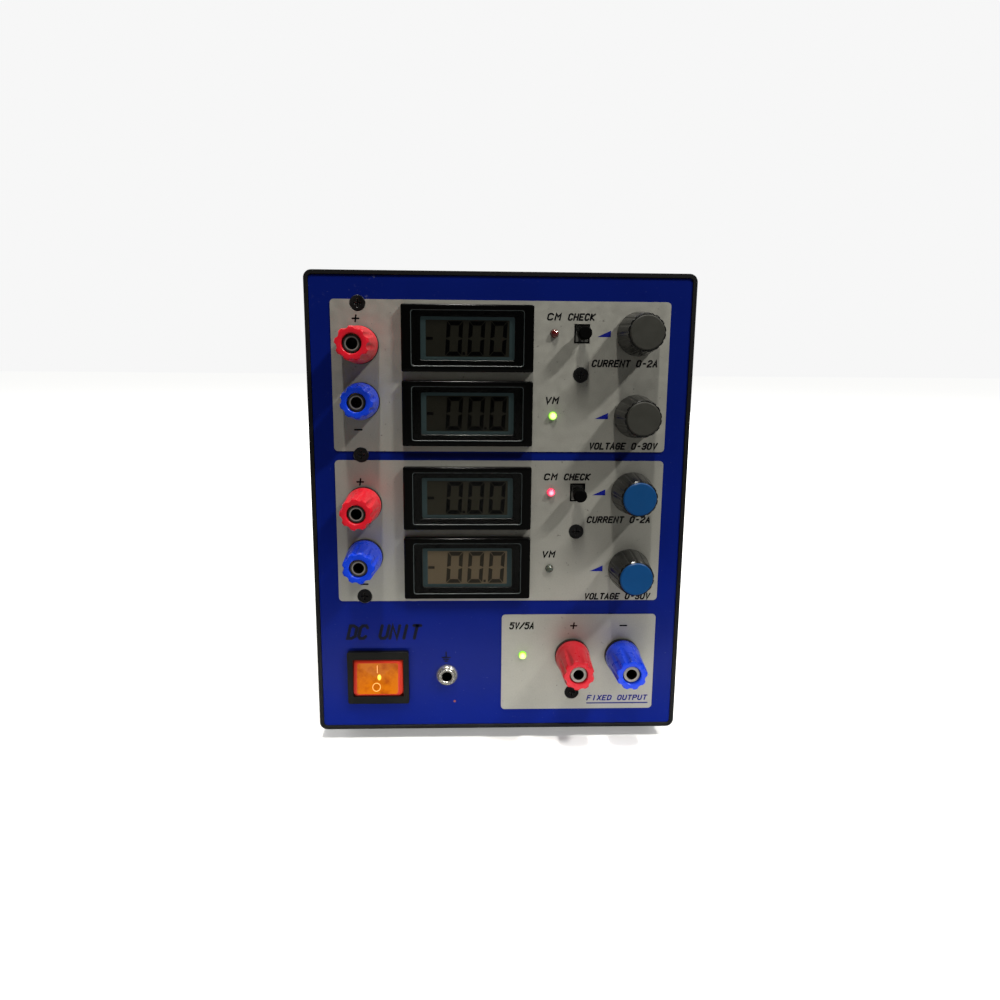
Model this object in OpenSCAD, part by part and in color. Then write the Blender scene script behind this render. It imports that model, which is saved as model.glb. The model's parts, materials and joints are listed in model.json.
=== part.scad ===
// Bench power supply: two adjustable outputs and one fixed output in an upright steel cabinet.
// Millimetres. +X is to the right seen from the front, +Y goes into the cabinet, +Z is up.
// The origin is the middle of the overall footprint, on the bench.

/* [Cabinet] */
// Width of the cabinet
case_w = 142; // [140:1:150]
// Height of the cabinet without its feet
case_h = 177; // [175:1:185]
// Depth of the cabinet without the heatsink
case_d = 220; // [215:5:260]
// Thickness of the sheet steel
sheet = 1.5; // [1.2:0.1:1.8]
// Outside radius of the bends
bend_r = 3; // [2.5:0.1:3.5]
// Height of the rubber feet
foot_h = 5; // [4.5:0.5:8]
// Height of the seam between the bottom pan and the cover
seam_h = 14; // [12:1:20]

/* [Front panel layout, from the lower left corner of the cabinet front] */
// Column of the output posts of both channels
post_col = 19.6; // [19:0.1:20]
// Column of the panel meters
meter_col = 58.6; // [58:0.1:59]
// Column of the indicator lamps
led_col = 90.3; // [90:0.1:91]
// Column of the check buttons
check_col = 100.4; // [100:0.1:101]
// Column of the knobs
knob_col = 121; // [120.5:0.1:121.5]
// Row of the current knob of the upper channel
current_row = 155.4; // [155:0.1:156]
// Distance from the current row down to the voltage row
control_pitch = 30; // [29.5:0.1:30.5]
// Distance from the upper channel down to the lower channel
channel_pitch = 59; // [58.8:0.1:59.2]

/* [Output posts] */
// Lengths of the caps: upper channel, lower channel, then fixed output
cap_lengths = [16.8, 10.6, 16.8, 15.2, 16.8, 16.8]; // [10:0.1:18]
// Diameter of the banana socket in each post
socket_d = 4; // [4:0.05:4.1]

/* [Knobs and meters] */
// Diameter of a knob at its foot
knob_d = 16; // [15:0.5:16]
// Height of a knob over the legend plate
knob_h = 13.6; // [13:0.1:15]
// Outline of a meter bezel
meter_size = [48, 24]; // [47.5:0.5:48]

/* [Hidden] */
$fn = 64;

// Clearances
fit = 0.15;       // panels inside the cabinet
slack = 0.05;     // round parts that turn or slide in each other
touch = 0.02;     // parts held still against each other

// Front panel
panel_t = 2;
panel_inset = 0.4;    // the cabinet's front edge stands this far before the panel
legend_t = 0.3;
flange_d = 12;        // flange folded back along the top of the front and rear panels

// Binding posts
stud_r = 2.95;
stud_back = 15;       // stud end behind the panel's face
collar_r = 6.85;
collar_t = 1.4;
post_pitch = 20.2;
stud_recess = 1;      // stud end below the closed cap's face
socket_depth = 9;
cap_foot = legend_t + collar_t + slack;
flutes = 9;

// Heatsink
sink_base = 5;
sink_fin = 28;
sink_w = 120;
sink_h = 104;
sink_row = 112;

// Places along Y
front_reach = cap_foot + max(cap_lengths) - panel_inset;
rear_reach = sink_base + sink_fin - panel_inset;
cabinet_y = front_reach - (case_d + front_reach + rear_reach) / 2;
front_y = cabinet_y + panel_inset;
rear_y = cabinet_y + case_d - panel_inset;

// Panel rows and columns
control_rows = [for (c = [0, 1], r = [0, 1]) current_row - c * channel_pitch - r * control_pitch];
meter_rows = [for (c = [0, 1], r = [0, 1]) current_row - 2.1 - c * channel_pitch - r * 27.2];
check_rows = [for (c = [0, 1]) current_row - c * channel_pitch];
fixed_led = [80.4, 30.9];
fixed_post = [100, 30.8];
fixed_pitch = 19.8;
post_spots = concat(
    [for (c = [0, 1], r = [0, 1]) [post_col, current_row - 4.7 - c * channel_pitch - r * post_pitch]],
    [for (r = [0, 1]) [fixed_post.x + r * fixed_pitch, fixed_post.y]]);
left_screw_col = 19;
right_screw_col = 100.3;
screw_spots = [[left_screw_col, 165.5], [left_screw_col, 110.5], [left_screw_col, 55.5],
    [right_screw_col, 140.5], [right_screw_col, 81.1], [right_screw_col, 15.1]];
rocker_spot = [23.7, 22.3];
earth_spot = [50.6, 22.8];

// Legend plates: lower left corner and size of each
legend_areas = [[[9.1, 111.9], [123.7, 55]], [[9.1, 53.5], [123.7, 55]], [[72.1, 8], [60.7, 39.7]]];
legend_r = 1.5;

// Screws
m3_shank = 1.45;
m3_head = 2.85;
m3_tapped = 1.5;
m3_clear = 1.7;
side_screw_y = [25, case_d / 2, case_d - 25];
side_screw_z = foot_h + seam_h + 6;
top_screw_x = 45;
stud_x = [-10, 52];       // weld studs that hold the front panel to the pan
rear_tab_x = [8, 55];     // screws that hold the rear panel to the pan
tab_z = 6.5;              // height of those fixings above the pan's underside
foot_x = case_w / 2 - 16;
foot_y = 20;              // distance of the feet from the ends of the cabinet

// Front board
board_gap = 14;       // front face of the board behind the panel's face
board_t = 1.6;

// Controls
bush_r = 3.5;
shaft_r = 2;
pot_r = 8;
pot_t = 7.5;
check_hole = [5.8, 7];
check_stem = 2.4;
check_reach = 8.2;
rocker_bezel = [24, 21.6];
rocker_bezel_t = 1.8;
rocker_window = [19.6, 15.2];
rocker_axis = -0.6;       // hinge line behind the panel's face
rocker_r = 7.45;
rocker_tilt = 10;         // lean of the rocker in either position

// Mains inlet, seen from behind
inlet_spot = [33, 25];
inlet_flange = [48, 34, 3];
inlet_body = [27, 30, 24];
plug_recess = [24.2, 16.4, 15];
plug_up = 5.5;
drawer = [22, 7.4, 18];
drawer_up = -9.5;

// Inside
toroid_y = front_y + 98;
toroid_r = 52.5;
toroid_h = 45;
toroid_hole = 16;
toroid_pad = 2;
toroid_bolt = 4;
floor_z = foot_h + sheet;
power_gap = 22;           // power board's rear face in front of the rear panel's face
power_size = [118, 84];
block_xs = [-43, -23, 23, 43];    // terminal blocks on the power board
block_up = -35;
block_h = 12;
// Height at which each output lead meets the board; 0 for straight back
lead_levels = [110, 104, 0, 90, 92, 92];
cap_xs = [-27, 7, 41];
cap_row = sink_row + 12;
can_r = 14;
can_l = 42;
device_xs = [-36, -18, 0, 18, 36];

function column_x(u) = u - case_w / 2;
function row_z(v) = v + foot_h;

// Local +Z points out of the front panel's face, local +Y points up
module on_front(spot) translate([column_x(spot.x), front_y, row_z(spot.y)]) rotate([90, 0, 0]) children();

// Local +Z points out of the rear panel's face, local +Y points up
module on_rear(spot) translate([column_x(spot.x), rear_y, row_z(spot.y)]) rotate([90, 0, 180]) children();

// Extrudes an outline drawn in X and Z along Y
module along_y(y, length) translate([0, y + length, 0]) rotate([90, 0, 0]) linear_extrude(length) children();

module rounded_square(size, r) {
    square([size.x - 2 * r, size.y], center = true);
    square([size.x, size.y - 2 * r], center = true);
    for (sx = [-1, 1], sy = [-1, 1])
        translate([sx * (size.x / 2 - r), sy * (size.y / 2 - r)]) circle(r);
}

// A block whose far corners are rounded, from z = low to z = high
module slab(size, r, low, high) translate([0, 0, low]) linear_extrude(high - low) rounded_square(size, r);

module rod(r, low, high) translate([0, 0, low]) cylinder(r = r, h = high - low);

module bar(size, low, high) translate([-size.x / 2, -size.y / 2, low]) cube([size.x, size.y, high - low]);

module slot(length, width) {
    square([length - width, width], center = true);
    for (s = [-1, 1]) translate([s * (length - width) / 2, 0]) circle(width / 2, $fn = 24);
}

// A round wire through a list of points
module wire(points, r) {
    for (i = [0:len(points) - 2]) {
        leg = points[i + 1] - points[i];
        flat = norm([leg.x, leg.y]);
        translate(points[i]) rotate([0, atan2(flat, leg.z), atan2(leg.y, leg.x)])
            cylinder(r = r, h = norm(leg), $fn = 24);
        if (i > 0) translate(points[i]) sphere(r, $fn = 24);
    }
}

// Pan-head screw, head above local zero, with a cross recess
module pan_screw(length, head_h = 2) {
    difference() {
        union() {
            rod(m3_head, 0, head_h);
            rod(m3_shank, -length, 0.01);
        }
        for (a = [0, 90]) rotate(a) bar([3, 0.6], head_h - 1, head_h + 1);
    }
}

module hex_nut(across, bore_r, low, high) difference() {
    rod(across / 2 / cos(30), low, high, $fn = 6);
    rod(bore_r, low - 1, high + 1);
}

// ---- Cabinet ----

module cabinet_outline(inset, r) translate([0, foot_h + case_h / 2])
    rounded_square([case_w - 2 * inset, case_h - 2 * inset], r);

// A block of cooling slots: count slots along the first local axis
module vent_row(count, pitch, length, width, depth) for (i = [0:count - 1])
    translate([(i - (count - 1) / 2) * pitch, 0, -depth])
        linear_extrude(2 * depth) rotate(90) slot(length, width);

module top_vents() translate([0, cabinet_y + case_d / 2, foot_h + case_h]) {
    for (s = [-1, 1]) translate([0, s * 40 + 12, 0]) vent_row(14, 7.5, 48, 3, 3);
}

module side_vents() for (s = [-1, 1], z = [52, 128])
    translate([s * case_w / 2, cabinet_y + case_d - 72, foot_h + z])
        rotate([90, 0, 90]) vent_row(13, 7.5, 40, 3, 3);

module side_screw_spots() for (s = [-1, 1], y = side_screw_y)
    translate([s * case_w / 2, cabinet_y + y, side_screw_z]) rotate([0, s * 90, 0]) children();

module top_screw_spots() for (s = [-1, 1])
    translate([s * top_screw_x, rear_y - flange_d + 5, foot_h + case_h]) children();

module foot_spots() for (sx = [-1, 1], y = [foot_y, case_d - foot_y])
    translate([sx * foot_x, cabinet_y + y, 0]) children();

module top_cover() color([0.03, 0.03, 0.035]) difference() {
    along_y(cabinet_y, case_d) difference() {
        cabinet_outline(0, bend_r);
        cabinet_outline(sheet, bend_r - sheet);
        translate([-case_w, 0]) square([2 * case_w, foot_h + seam_h]);
    }
    top_vents();
    side_vents();
    side_screw_spots() rod(m3_clear, -3, 1);
    top_screw_spots() rod(m3_clear, -3, 1);
}

module pan_tab(x, y) translate([x - 8, y, floor_z - touch]) cube([16, sheet, 10]);

module bottom_pan() color([0.035, 0.035, 0.04]) difference() {
    union() {
        along_y(cabinet_y, case_d) difference() {
            cabinet_outline(0, bend_r);
            cabinet_outline(sheet, bend_r - sheet);
            translate([-case_w, foot_h + seam_h - touch]) square([2 * case_w, case_h]);
        }
        // lips that stand up inside the cover
        along_y(cabinet_y + 6, case_d - 12) for (s = [-1, 1])
            translate([s * (case_w / 2 - 1.5 * sheet), foot_h + 6]) {
                translate([-sheet / 2 - 0.1, 0]) square([sheet + 0.2, seam_h - 6 - touch]);
                translate([-sheet / 2 - s * 0.1, 0]) square([sheet, seam_h + 6]);
            }
        for (x = stud_x) pan_tab(x, front_y + panel_t + touch);
        for (x = rear_tab_x) pan_tab(x, rear_y - 2 * sheet - touch);
    }
    side_screw_spots() rod(m3_tapped, -6, 1);
    foot_spots() rod(m3_tapped, 0, foot_h + 3);
    translate([0, toroid_y, 0]) rod(toroid_bolt + slack, 0, foot_h + 3);
    for (x = stud_x) translate([x, front_y, foot_h + tab_z]) rotate([-90, 0, 0]) rod(m3_clear, 0, 6);
    for (x = rear_tab_x) translate([x, rear_y, foot_h + tab_z]) rotate([90, 0, 0]) rod(m3_tapped, 0, 6);
    // air inlet under the transformer
    for (s = [-1, 1]) translate([s * 42, toroid_y, foot_h]) rotate(90) vent_row(8, 8, 24, 3, 3);
}

module rubber_feet() color([0.02, 0.02, 0.02]) foot_spots() difference() {
    rotate_extrude() polygon([[0, 0], [6.6, 0], [7.2, 0.6], [8, foot_h - touch], [0, foot_h - touch]]);
    rod(3.3, -1, foot_h / 2);
    rod(1.6, -1, foot_h + 1);
}

// ---- Front panel ----

module panel_outline() rounded_square([case_w - 2 * (sheet + fit), case_h - 2 * (sheet + fit)], 1.2);

module meter_spots() for (v = meter_rows) on_front([meter_col, v]) children();
module post_places() for (spot = post_spots) on_front(spot) children();
module control_spots() for (v = control_rows) on_front([knob_col, v]) children();
module check_spots() for (v = check_rows) on_front([check_col, v]) children();
module front_screw_spots() for (spot = screw_spots) on_front(spot) children();

// Everything that passes through the front panel and its legend plates
module front_cutouts() {
    meter_spots() bar([45.3, 22.5], -10, 10);
    post_places() rod(4.5, -10, 10);
    control_spots() rod(bush_r + 0.1, -10, 10);
    check_spots() bar(check_hole, -10, 10);
    for (v = control_rows) on_front([led_col, v]) rod(1.6, -10, 10);
    on_front(fixed_led) rod(1.6, -10, 10);
    front_screw_spots() {
        rod(m3_clear, -10, 10);
        translate([0, 0, legend_t - 1.5]) cylinder(r1 = 1.5, r2 = m3_head + 0.1, h = 1.5);
        rod(m3_head + 0.1, legend_t - 0.001, 3);
    }
    on_front(rocker_spot) bar([22, 19.4], -10, 10);
    on_front(earth_spot) rod(3.1, -10, 10);
}

module front_panel() color([0.02, 0.06, 0.5]) {
    difference() {
        union() {
            translate([0, front_y, foot_h + case_h / 2]) rotate([90, 0, 0]) translate([0, 0, -panel_t])
                linear_extrude(panel_t) panel_outline();
            // flange folded back under the cover
            translate([-case_w / 2 + 12, front_y + 0.5, foot_h + case_h - sheet - fit - panel_t])
                cube([case_w - 24, flange_d, panel_t]);
        }
        front_cutouts();
    }
    // weld studs
    for (x = stud_x)
        translate([x, front_y + panel_t - 0.5, foot_h + tab_z]) rotate([-90, 0, 0]) rod(m3_shank, 0, 6);
}

module legend_plates() color([0.62, 0.61, 0.57]) difference() {
    for (area = legend_areas) on_front(area[0] + area[1] / 2) slab(area[1], legend_r, 0, legend_t);
    front_cutouts();
}

module front_screws() color([0.05, 0.05, 0.05]) front_screw_spots() difference() {
    union() {
        translate([0, 0, legend_t - 1.4]) cylinder(r1 = m3_shank, r2 = m3_head, h = 1.4);
        rod(m3_shank, -9, legend_t - 1.3);
    }
    for (a = [0, 90]) rotate(a) bar([3, 0.6], legend_t - 1, 2);
}

// ---- Meters ----

module meter_bezels() color([0.02, 0.02, 0.022]) meter_spots() {
    difference() {
        union() {
            slab(meter_size, 0.6, legend_t, 2.9);
            bar([45, 22.2], -20, legend_t + 0.1);
            // snap ribs behind the panel
            for (s = [-1, 1]) translate([s * 22.5, 0, 0]) bar([1.6, 8], -5, -panel_t - 0.1);
        }
        slab([40.4, 19.4], 0.8, 1.9, 4);
        slab([34.3, 15.5], 0.5, 0, 3);
        bar([42.6, 19.8], -21, 0.9);
    }
}

module meter_windows() color([0.1, 0.12, 0.13, 0.4]) meter_spots() slab([40.2, 19.2], 0.7, 1.92, 2.85);

module meter_lcds() color([0.16, 0.2, 0.2]) meter_spots() {
    bar([42, 18.6], -1.9, 0.85);
    // pin rows down to the meter board
    for (s = [-1, 1]) translate([0, s * 8.6, 0]) bar([38, 1], -7.9, -1.9);
}

module meter_boards() color([0.05, 0.3, 0.12]) meter_spots() {
    bar([42.4, 19.6], -9.5, -7.95);
    bar([12, 6], -12, -9.4);
    translate([13, 0, 0]) rod(3, -17, -9.4);
    translate([-14, 0, 0]) bar([6, 12], -15, -9.4);
}

// ---- Potentiometers and knobs ----

module potentiometers() color([0.5, 0.5, 0.48]) control_spots() difference() {
    union() {
        rod(pot_r, -panel_t - pot_t, -panel_t - touch);
        rod(bush_r, -panel_t - 1, 3.7);
        translate([0, -pot_r, 0]) bar([12, 6], -panel_t - 4, -panel_t - 2);
        for (x = [-5, 0, 5]) translate([x, -pot_r - 2, 0]) bar([1, 1], -board_gap + touch, -panel_t - 3);
    }
    rod(shaft_r + slack, -panel_t - pot_t - 1, 6);
    rod(6.2, -panel_t - pot_t + 0.8, -panel_t - 2);
}

module pot_shaft(n) color([0.72, 0.72, 0.7]) on_front([knob_col, control_rows[n]]) {
    rod(shaft_r, -panel_t - pot_t + 0.2, 11.4);
    rod(5.9, -panel_t - pot_t + 1, -panel_t - 2.4);
}

module knob(n) color([0.05, 0.05, 0.05]) on_front([knob_col, control_rows[n]]) difference() {
    rib_turn = 360 / 16;
    foot = legend_t + 0.6;
    shoulder = knob_d / 2 - 1.3;
    rotate_extrude() polygon([
        [0, foot], [knob_d / 2 - 0.3, foot], [knob_d / 2, foot + 0.4], [knob_d / 2, foot + 1.6],
        [shoulder, knob_h - 0.4], [shoulder - 0.4, knob_h], [0, knob_h]]);
    // grip grooves along the taper, dying out at the foot
    for (i = [0:15]) rotate(i * rib_turn) translate([knob_d / 2 + 0.85, 0, foot + 1.2]) rotate([0, -7.5, 0])
        cylinder(r = 0.95, h = knob_h + 4, $fn = 24);
    rod(6.2, -1, foot + 3);
    rod(shaft_r + touch, 0, 11.5);
    rod(knob_d / 2 - 1.9, knob_h - 1.2, knob_h + 1);
}

module knob_cap(n, tint) color(tint) on_front([knob_col, control_rows[n]]) {
    r = knob_d / 2 - 1.9 - touch;
    rotate_extrude() polygon([
        [0, knob_h - 1.15], [r, knob_h - 1.15], [r, knob_h + 0.1], [r - 0.35, knob_h + 0.45],
        [0, knob_h + 0.45]]);
}

// ---- Check buttons ----

module check_switches() color([0.3, 0.3, 0.3]) check_spots() difference() {
    union() {
        bar([check_hole.x - 0.2, check_hole.y - 0.2], -board_gap + touch, 0.2);
        bar([check_hole.x + 2, check_hole.y + 2], -board_gap + touch, -panel_t - 0.3);
    }
    bar([check_hole.x - 1.2, check_hole.y - 1.2], -1, 1);
    bar([check_stem + 0.2, check_stem + 0.2], -12, 1);
}

module check_button(n) color([0.03, 0.03, 0.03]) on_front([check_col, check_rows[n]]) {
    bar([check_stem, check_stem], -8, 4);
    rotate_extrude()
        polygon([[0, 3.6], [2.4, 3.6], [2.4, check_reach - 0.4], [2, check_reach], [0, check_reach]]);
}

// ---- Mains rocker ----

module rocker_frame() color([0.03, 0.03, 0.03]) on_front(rocker_spot) difference() {
    union() {
        slab(rocker_bezel, 0.8, 0, rocker_bezel_t);
        bar([21.8, 19.2], -17, 0.1);
        for (x = [-6, 6], y = [-4, 4]) translate([x, y, 0]) bar([4.8, 0.8], -24, -16.9);
    }
    bar(rocker_window, -13, 4);
    // trunnion bearings
    translate([0, 0, rocker_axis]) rotate([0, 90, 0])
        cylinder(r = 1 + slack, h = rocker_window.x + 1.4, center = true);
}

module rocker() color([0.95, 0.4, 0.05])
on_front(rocker_spot) translate([0, 0, rocker_axis]) rotate([-rocker_tilt, 0, 0]) {
    half = rocker_window.x / 2 - 0.15;
    difference() {
        rotate([0, 90, 0]) cylinder(r = rocker_r, h = 2 * half, center = true, $fn = 96);
        // two finger faces that meet in a shallow valley
        for (s = [-1, 1]) rotate([s * 8, 0, 0]) translate([-12, s < 0 ? -12 : 0, 3.6]) cube([24, 12, 6]);
        translate([-12, -12, -14]) cube([24, 24, 11]);
    }
    rotate([0, 90, 0]) cylinder(r = 1, h = rocker_window.x + 1.2, center = true);
}

// ---- Binding posts and earth socket ----

module post_studs() color([0.75, 0.73, 0.68]) for (n = [0:5]) on_front(post_spots[n]) difference() {
    top = cap_foot + cap_lengths[n] - stud_recess;
    rod(stud_r, -stud_back, top);
    rod(socket_d / 2, top - socket_depth, top + 1);
    // cross hole for a bare wire
    translate([0, 0, cap_foot + 1.4]) rotate([0, 90, 0]) cylinder(r = 1.1, h = 10, center = true);
}

module post_insulators() color([0.02, 0.02, 0.02]) post_places() {
    difference() {
        union() {
            rod(collar_r, legend_t, legend_t + collar_t);
            rod(4.4, -panel_t, legend_t + 0.1);
        }
        rod(stud_r + slack, -5, 5);
    }
    difference() {
        rod(6.5, -panel_t - 2, -panel_t - touch);
        rod(stud_r + slack, -5, 5);
    }
}

// Places a cap's own parts, with local zero at its foot
module on_collar(n) on_front(post_spots[n]) translate([0, 0, cap_foot]) children();

function insert_top(n) = min(11, cap_lengths[n] - 4);

module post_cap(n, tint) color(tint) on_collar(n) rotate(n * 23) difference() {
    h = cap_lengths[n];
    nose_r = 5.8;
    flute_r = 1.5;
    rotate_extrude() polygon([[0, 0], [6.5, 0], [6.7, 0.3], [6.7, 2.6], [6.45, 3.4], [nose_r, h - 0.5],
        [nose_r - 0.4, h], [0, h]]);
    // finger flutes that deepen towards the nose
    for (i = [0:flutes - 1]) rotate((i + 0.5) * 360 / flutes) translate([6.5 + flute_r, 0, 2.6])
        rotate([0, -atan(1.5 / (h - 2.6)), 0]) cylinder(r = flute_r, h = h, $fn = 24);
    rod(3.3, -1, 3);
    rod(4.35, 2.5, insert_top(n));
    rod(3.4, insert_top(n) - 1, h + 1);
}

module post_insert(n) color([0.8, 0.65, 0.3]) on_collar(n) difference() {
    rod(4.3, 2.55, insert_top(n) - slack);
    rod(stud_r + slack, 0, 12);
}

module earth_socket() color([0.8, 0.8, 0.8]) on_front(earth_spot) difference() {
    rotate_extrude() polygon([[0, -14], [3, -14], [3, 0], [4.5, 0], [4.5, 1.7], [3.7, 2.5], [0, 2.5]]);
    rod(socket_d / 2, -9.5, 3);
}

module panel_nuts() color([0.7, 0.7, 0.68]) {
    control_spots() hex_nut(10, bush_r + touch, legend_t, legend_t + 2);
    post_places() hex_nut(10, stud_r + touch, -panel_t - 5, -panel_t - 2);
    on_front(earth_spot) hex_nut(10, 3 + touch, -panel_t - 3, -panel_t - touch);
    for (x = stud_x) translate([x, front_y + panel_t + sheet + 2 * touch, foot_h + tab_z]) rotate([-90, 0, 0])
        hex_nut(5.5, m3_shank + touch, 0, 2.4);
}

// ---- Indicator lamps ----

module led(spot) on_front(spot) {
    rod(1.5, -6, 0.5);
    translate([0, 0, 0.5]) sphere(1.5, $fn = 48);
    rod(1.9, -6, -5);
    for (s = [-1, 1]) translate([s * 0.8, 0, 0]) bar([0.5, 0.5], -board_gap + touch, -5.9);
}

module red_leds() color([0.85, 0.08, 0.1]) for (i = [0, 2]) led([led_col, control_rows[i]]);

module green_leds() color([0.5, 0.9, 0.1]) {
    for (i = [1, 3]) led([led_col, control_rows[i]]);
    led(fixed_led);
}

// ---- Boards ----

module front_board() color([0.05, 0.3, 0.12]) difference() {
    union() {
        translate([column_x(8), front_y + board_gap, row_z(10)]) cube([126, board_t, 160]);
        // amplifier chips and trimmers
        for (v = check_rows) {
            on_front([90, v - 14]) bar([10, 6], -board_gap - board_t - 3.5, -board_gap - board_t + 0.1);
            on_front([119, v - 15]) bar([8, 10], -board_gap - board_t - 8, -board_gap - board_t + 0.1);
        }
    }
    for (c = [0, 1])
        on_front([meter_col, (meter_rows[2 * c] + meter_rows[2 * c + 1]) / 2]) bar([49, 52], -30, 0);
    post_places() rod(8, -30, 0);
    on_front(rocker_spot) bar([30, 28], -30, 0);
    on_front(earth_spot) rod(7, -30, 0);
    front_screw_spots() rod(m3_clear, -30, 0);
}

module rear_spacer_spots() for (sx = [-1, 1], sz = [-1, 1])
    on_rear([case_w / 2 + sx * 54, sink_row + sz * 37]) children();

module board_spacers() color([0.72, 0.7, 0.6]) {
    front_screw_spots() hex_nut(5.5, m3_tapped, -board_gap + touch, -panel_t - touch);
    rear_spacer_spots() hex_nut(5.5, m3_tapped, -power_gap + touch, -sheet - touch);
}

module power_board() color([0.05, 0.3, 0.12]) on_rear([case_w / 2, sink_row]) difference() {
    union() {
        bar(power_size, -power_gap - board_t, -power_gap);
        // relays and terminal blocks
        for (x = block_xs) translate([x, block_up, 0])
            bar([14, 10], -power_gap - board_t - block_h, -power_gap - 1);
    }
    for (sx = [-1, 1], sy = [-1, 1]) translate([sx * 54, sy * 37, 0]) rod(m3_clear, -50, 0);
}

module capacitors() color([0.03, 0.03, 0.08]) for (x = cap_xs) on_rear([case_w / 2 - x, cap_row]) {
    low = -power_gap - board_t - touch;
    rotate_extrude() polygon([
        [0, low], [can_r, low], [can_r, low - can_l + 1], [can_r - 1, low - can_l], [0, low - can_l]]);
}

// ---- Rear panel and heatsink ----

module sink_screw_spots() for (sx = [-1, 1], sz = [-1, 1])
    on_rear([case_w / 2 + sx * 52.25, sink_row + sz * (sink_h / 2 - 8)]) children();

module inlet_screw_spots() on_rear(inlet_spot) for (s = [-1, 1]) translate([s * 20, 0, 0]) children();

module rear_panel() color([0.05, 0.05, 0.055]) difference() {
    union() {
        translate([0, rear_y, foot_h + case_h / 2]) rotate([90, 0, 0]) linear_extrude(sheet) panel_outline();
        translate([-case_w / 2 + 12, rear_y - flange_d - 0.5, foot_h + case_h - 2 * sheet - fit])
            cube([case_w - 24, flange_d, sheet]);
    }
    on_rear([case_w / 2, sink_row]) slab([96, 68], 2, -10, 10);
    sink_screw_spots() rod(m3_tapped, -10, 10);
    inlet_screw_spots() rod(m3_tapped, -10, 10);
    on_rear(inlet_spot) bar([inlet_body.x + 0.4, inlet_body.y + 0.4], -10, 10);
    for (x = rear_tab_x) translate([x, rear_y, foot_h + tab_z]) rotate([90, 0, 0]) rod(m3_clear, -1, 6);
    top_screw_spots() rod(m3_tapped, -6, 1);
    // air slots under the heatsink
    on_rear([case_w / 2 + 27, 38]) vent_row(9, 7, 16, 3, 3);
}

module heatsink() color([0.04, 0.04, 0.045]) on_rear([case_w / 2, sink_row]) difference() {
    union() {
        bar([sink_w, sink_h], 0, sink_base);
        for (i = [-6:6]) translate([i * 9.5, 0, 0]) bar([2, sink_h], sink_base - 0.1, sink_base + sink_fin);
    }
    for (sx = [-1, 1], sy = [-1, 1])
        translate([sx * 52.25, sy * (sink_h / 2 - 8), 0]) rod(m3_clear, -1, sink_base + 1);
}

module power_transistors() color([0.04, 0.04, 0.045])
for (x = device_xs) on_rear([case_w / 2 + x, sink_row + 5]) {
    difference() {
        bar([15.9, 20.9], -5, -touch);
        translate([0, 4, 0]) rod(1.8, -6, 1);
    }
    for (lead = [-5, 0, 5]) translate([lead, 0, 0]) {
        translate([0, -13, 0]) bar([1.2, 6], -3, -2.4);
        translate([0, -15.7, 0]) bar([1.2, 0.6], -power_gap + touch, -2.4);
    }
}

module bridge_rectifiers() color([0.1, 0.1, 0.1]) for (spot = [[-8, 20], [21, 20], [50, 44]])
    translate([spot.x, rear_y - sheet - spot.y, floor_z + touch]) difference() {
        union() {
            bar([25, 25], 0, 10);
            for (sx = [-1, 1], sy = [-1, 1]) translate([sx * 8, sy * 8, 0]) bar([0.8, 6], 9.9, 18);
        }
        rod(2.3, -1, 11);
    }

module mains_inlet() color([0.03, 0.03, 0.03]) on_rear(inlet_spot) {
    difference() {
        union() {
            slab([inlet_flange.x, inlet_flange.y], 3, 0, inlet_flange.z);
            bar([inlet_body.x, inlet_body.y], -inlet_body.z, 0.1);
            for (x = [-7, 0, 7])
                translate([x, plug_up, 0]) bar([6.3, 0.8], -inlet_body.z - 9, -inlet_body.z + 0.1);
        }
        // plug opening with two cut corners
        translate([0, plug_up, inlet_flange.z - plug_recess.z]) linear_extrude(plug_recess.z + 1) polygon([
            [-plug_recess.x / 2, -plug_recess.y / 2], [plug_recess.x / 2, -plug_recess.y / 2],
            [plug_recess.x / 2, plug_recess.y / 2 - 4], [plug_recess.x / 2 - 4, plug_recess.y / 2],
            [-plug_recess.x / 2 + 4, plug_recess.y / 2], [-plug_recess.x / 2, plug_recess.y / 2 - 4]]);
        translate([0, drawer_up, 0]) bar([drawer.x + 0.3, drawer.y + 0.3], inlet_flange.z - drawer.z - 1, 4);
        for (s = [-1, 1]) translate([s * 20, 0, 0]) rod(m3_clear, -1, 4);
    }
    for (pin = [[-7, -1.5], [0, 2.5], [7, -1.5]]) translate([pin.x, plug_up + pin.y, 0])
        bar([2, 4], inlet_flange.z - plug_recess.z - 0.5, inlet_flange.z - 1.5);
}

module fuse_drawer() color([0.06, 0.06, 0.06]) on_rear(inlet_spot) translate([0, drawer_up, 0]) difference() {
    union() {
        bar([drawer.x, drawer.y], inlet_flange.z - drawer.z, inlet_flange.z);
        bar([drawer.x, drawer.y], inlet_flange.z - 0.1, inlet_flange.z + 0.8);
    }
    // trough for the fuse and a finger notch
    translate([0, 1.2, 0]) bar([drawer.x - 3, drawer.y], inlet_flange.z - drawer.z + 1.5, inlet_flange.z - 2);
    translate([0, drawer.y / 2, 0]) bar([6, 1.6], inlet_flange.z - 1, inlet_flange.z + 2);
}

// ---- Transformer ----

module transformer() color([0.75, 0.6, 0.2]) translate([0, toroid_y, floor_z + touch]) {
    difference() {
        rod(toroid_r - 6, 0, toroid_pad);
        rod(toroid_hole, -1, toroid_pad + 1);
    }
    rotate_extrude($fn = 96) translate([(toroid_r + toroid_hole) / 2, toroid_pad - touch + toroid_h / 2])
        rounded_square([toroid_r - toroid_hole, toroid_h], 7);
}

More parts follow.
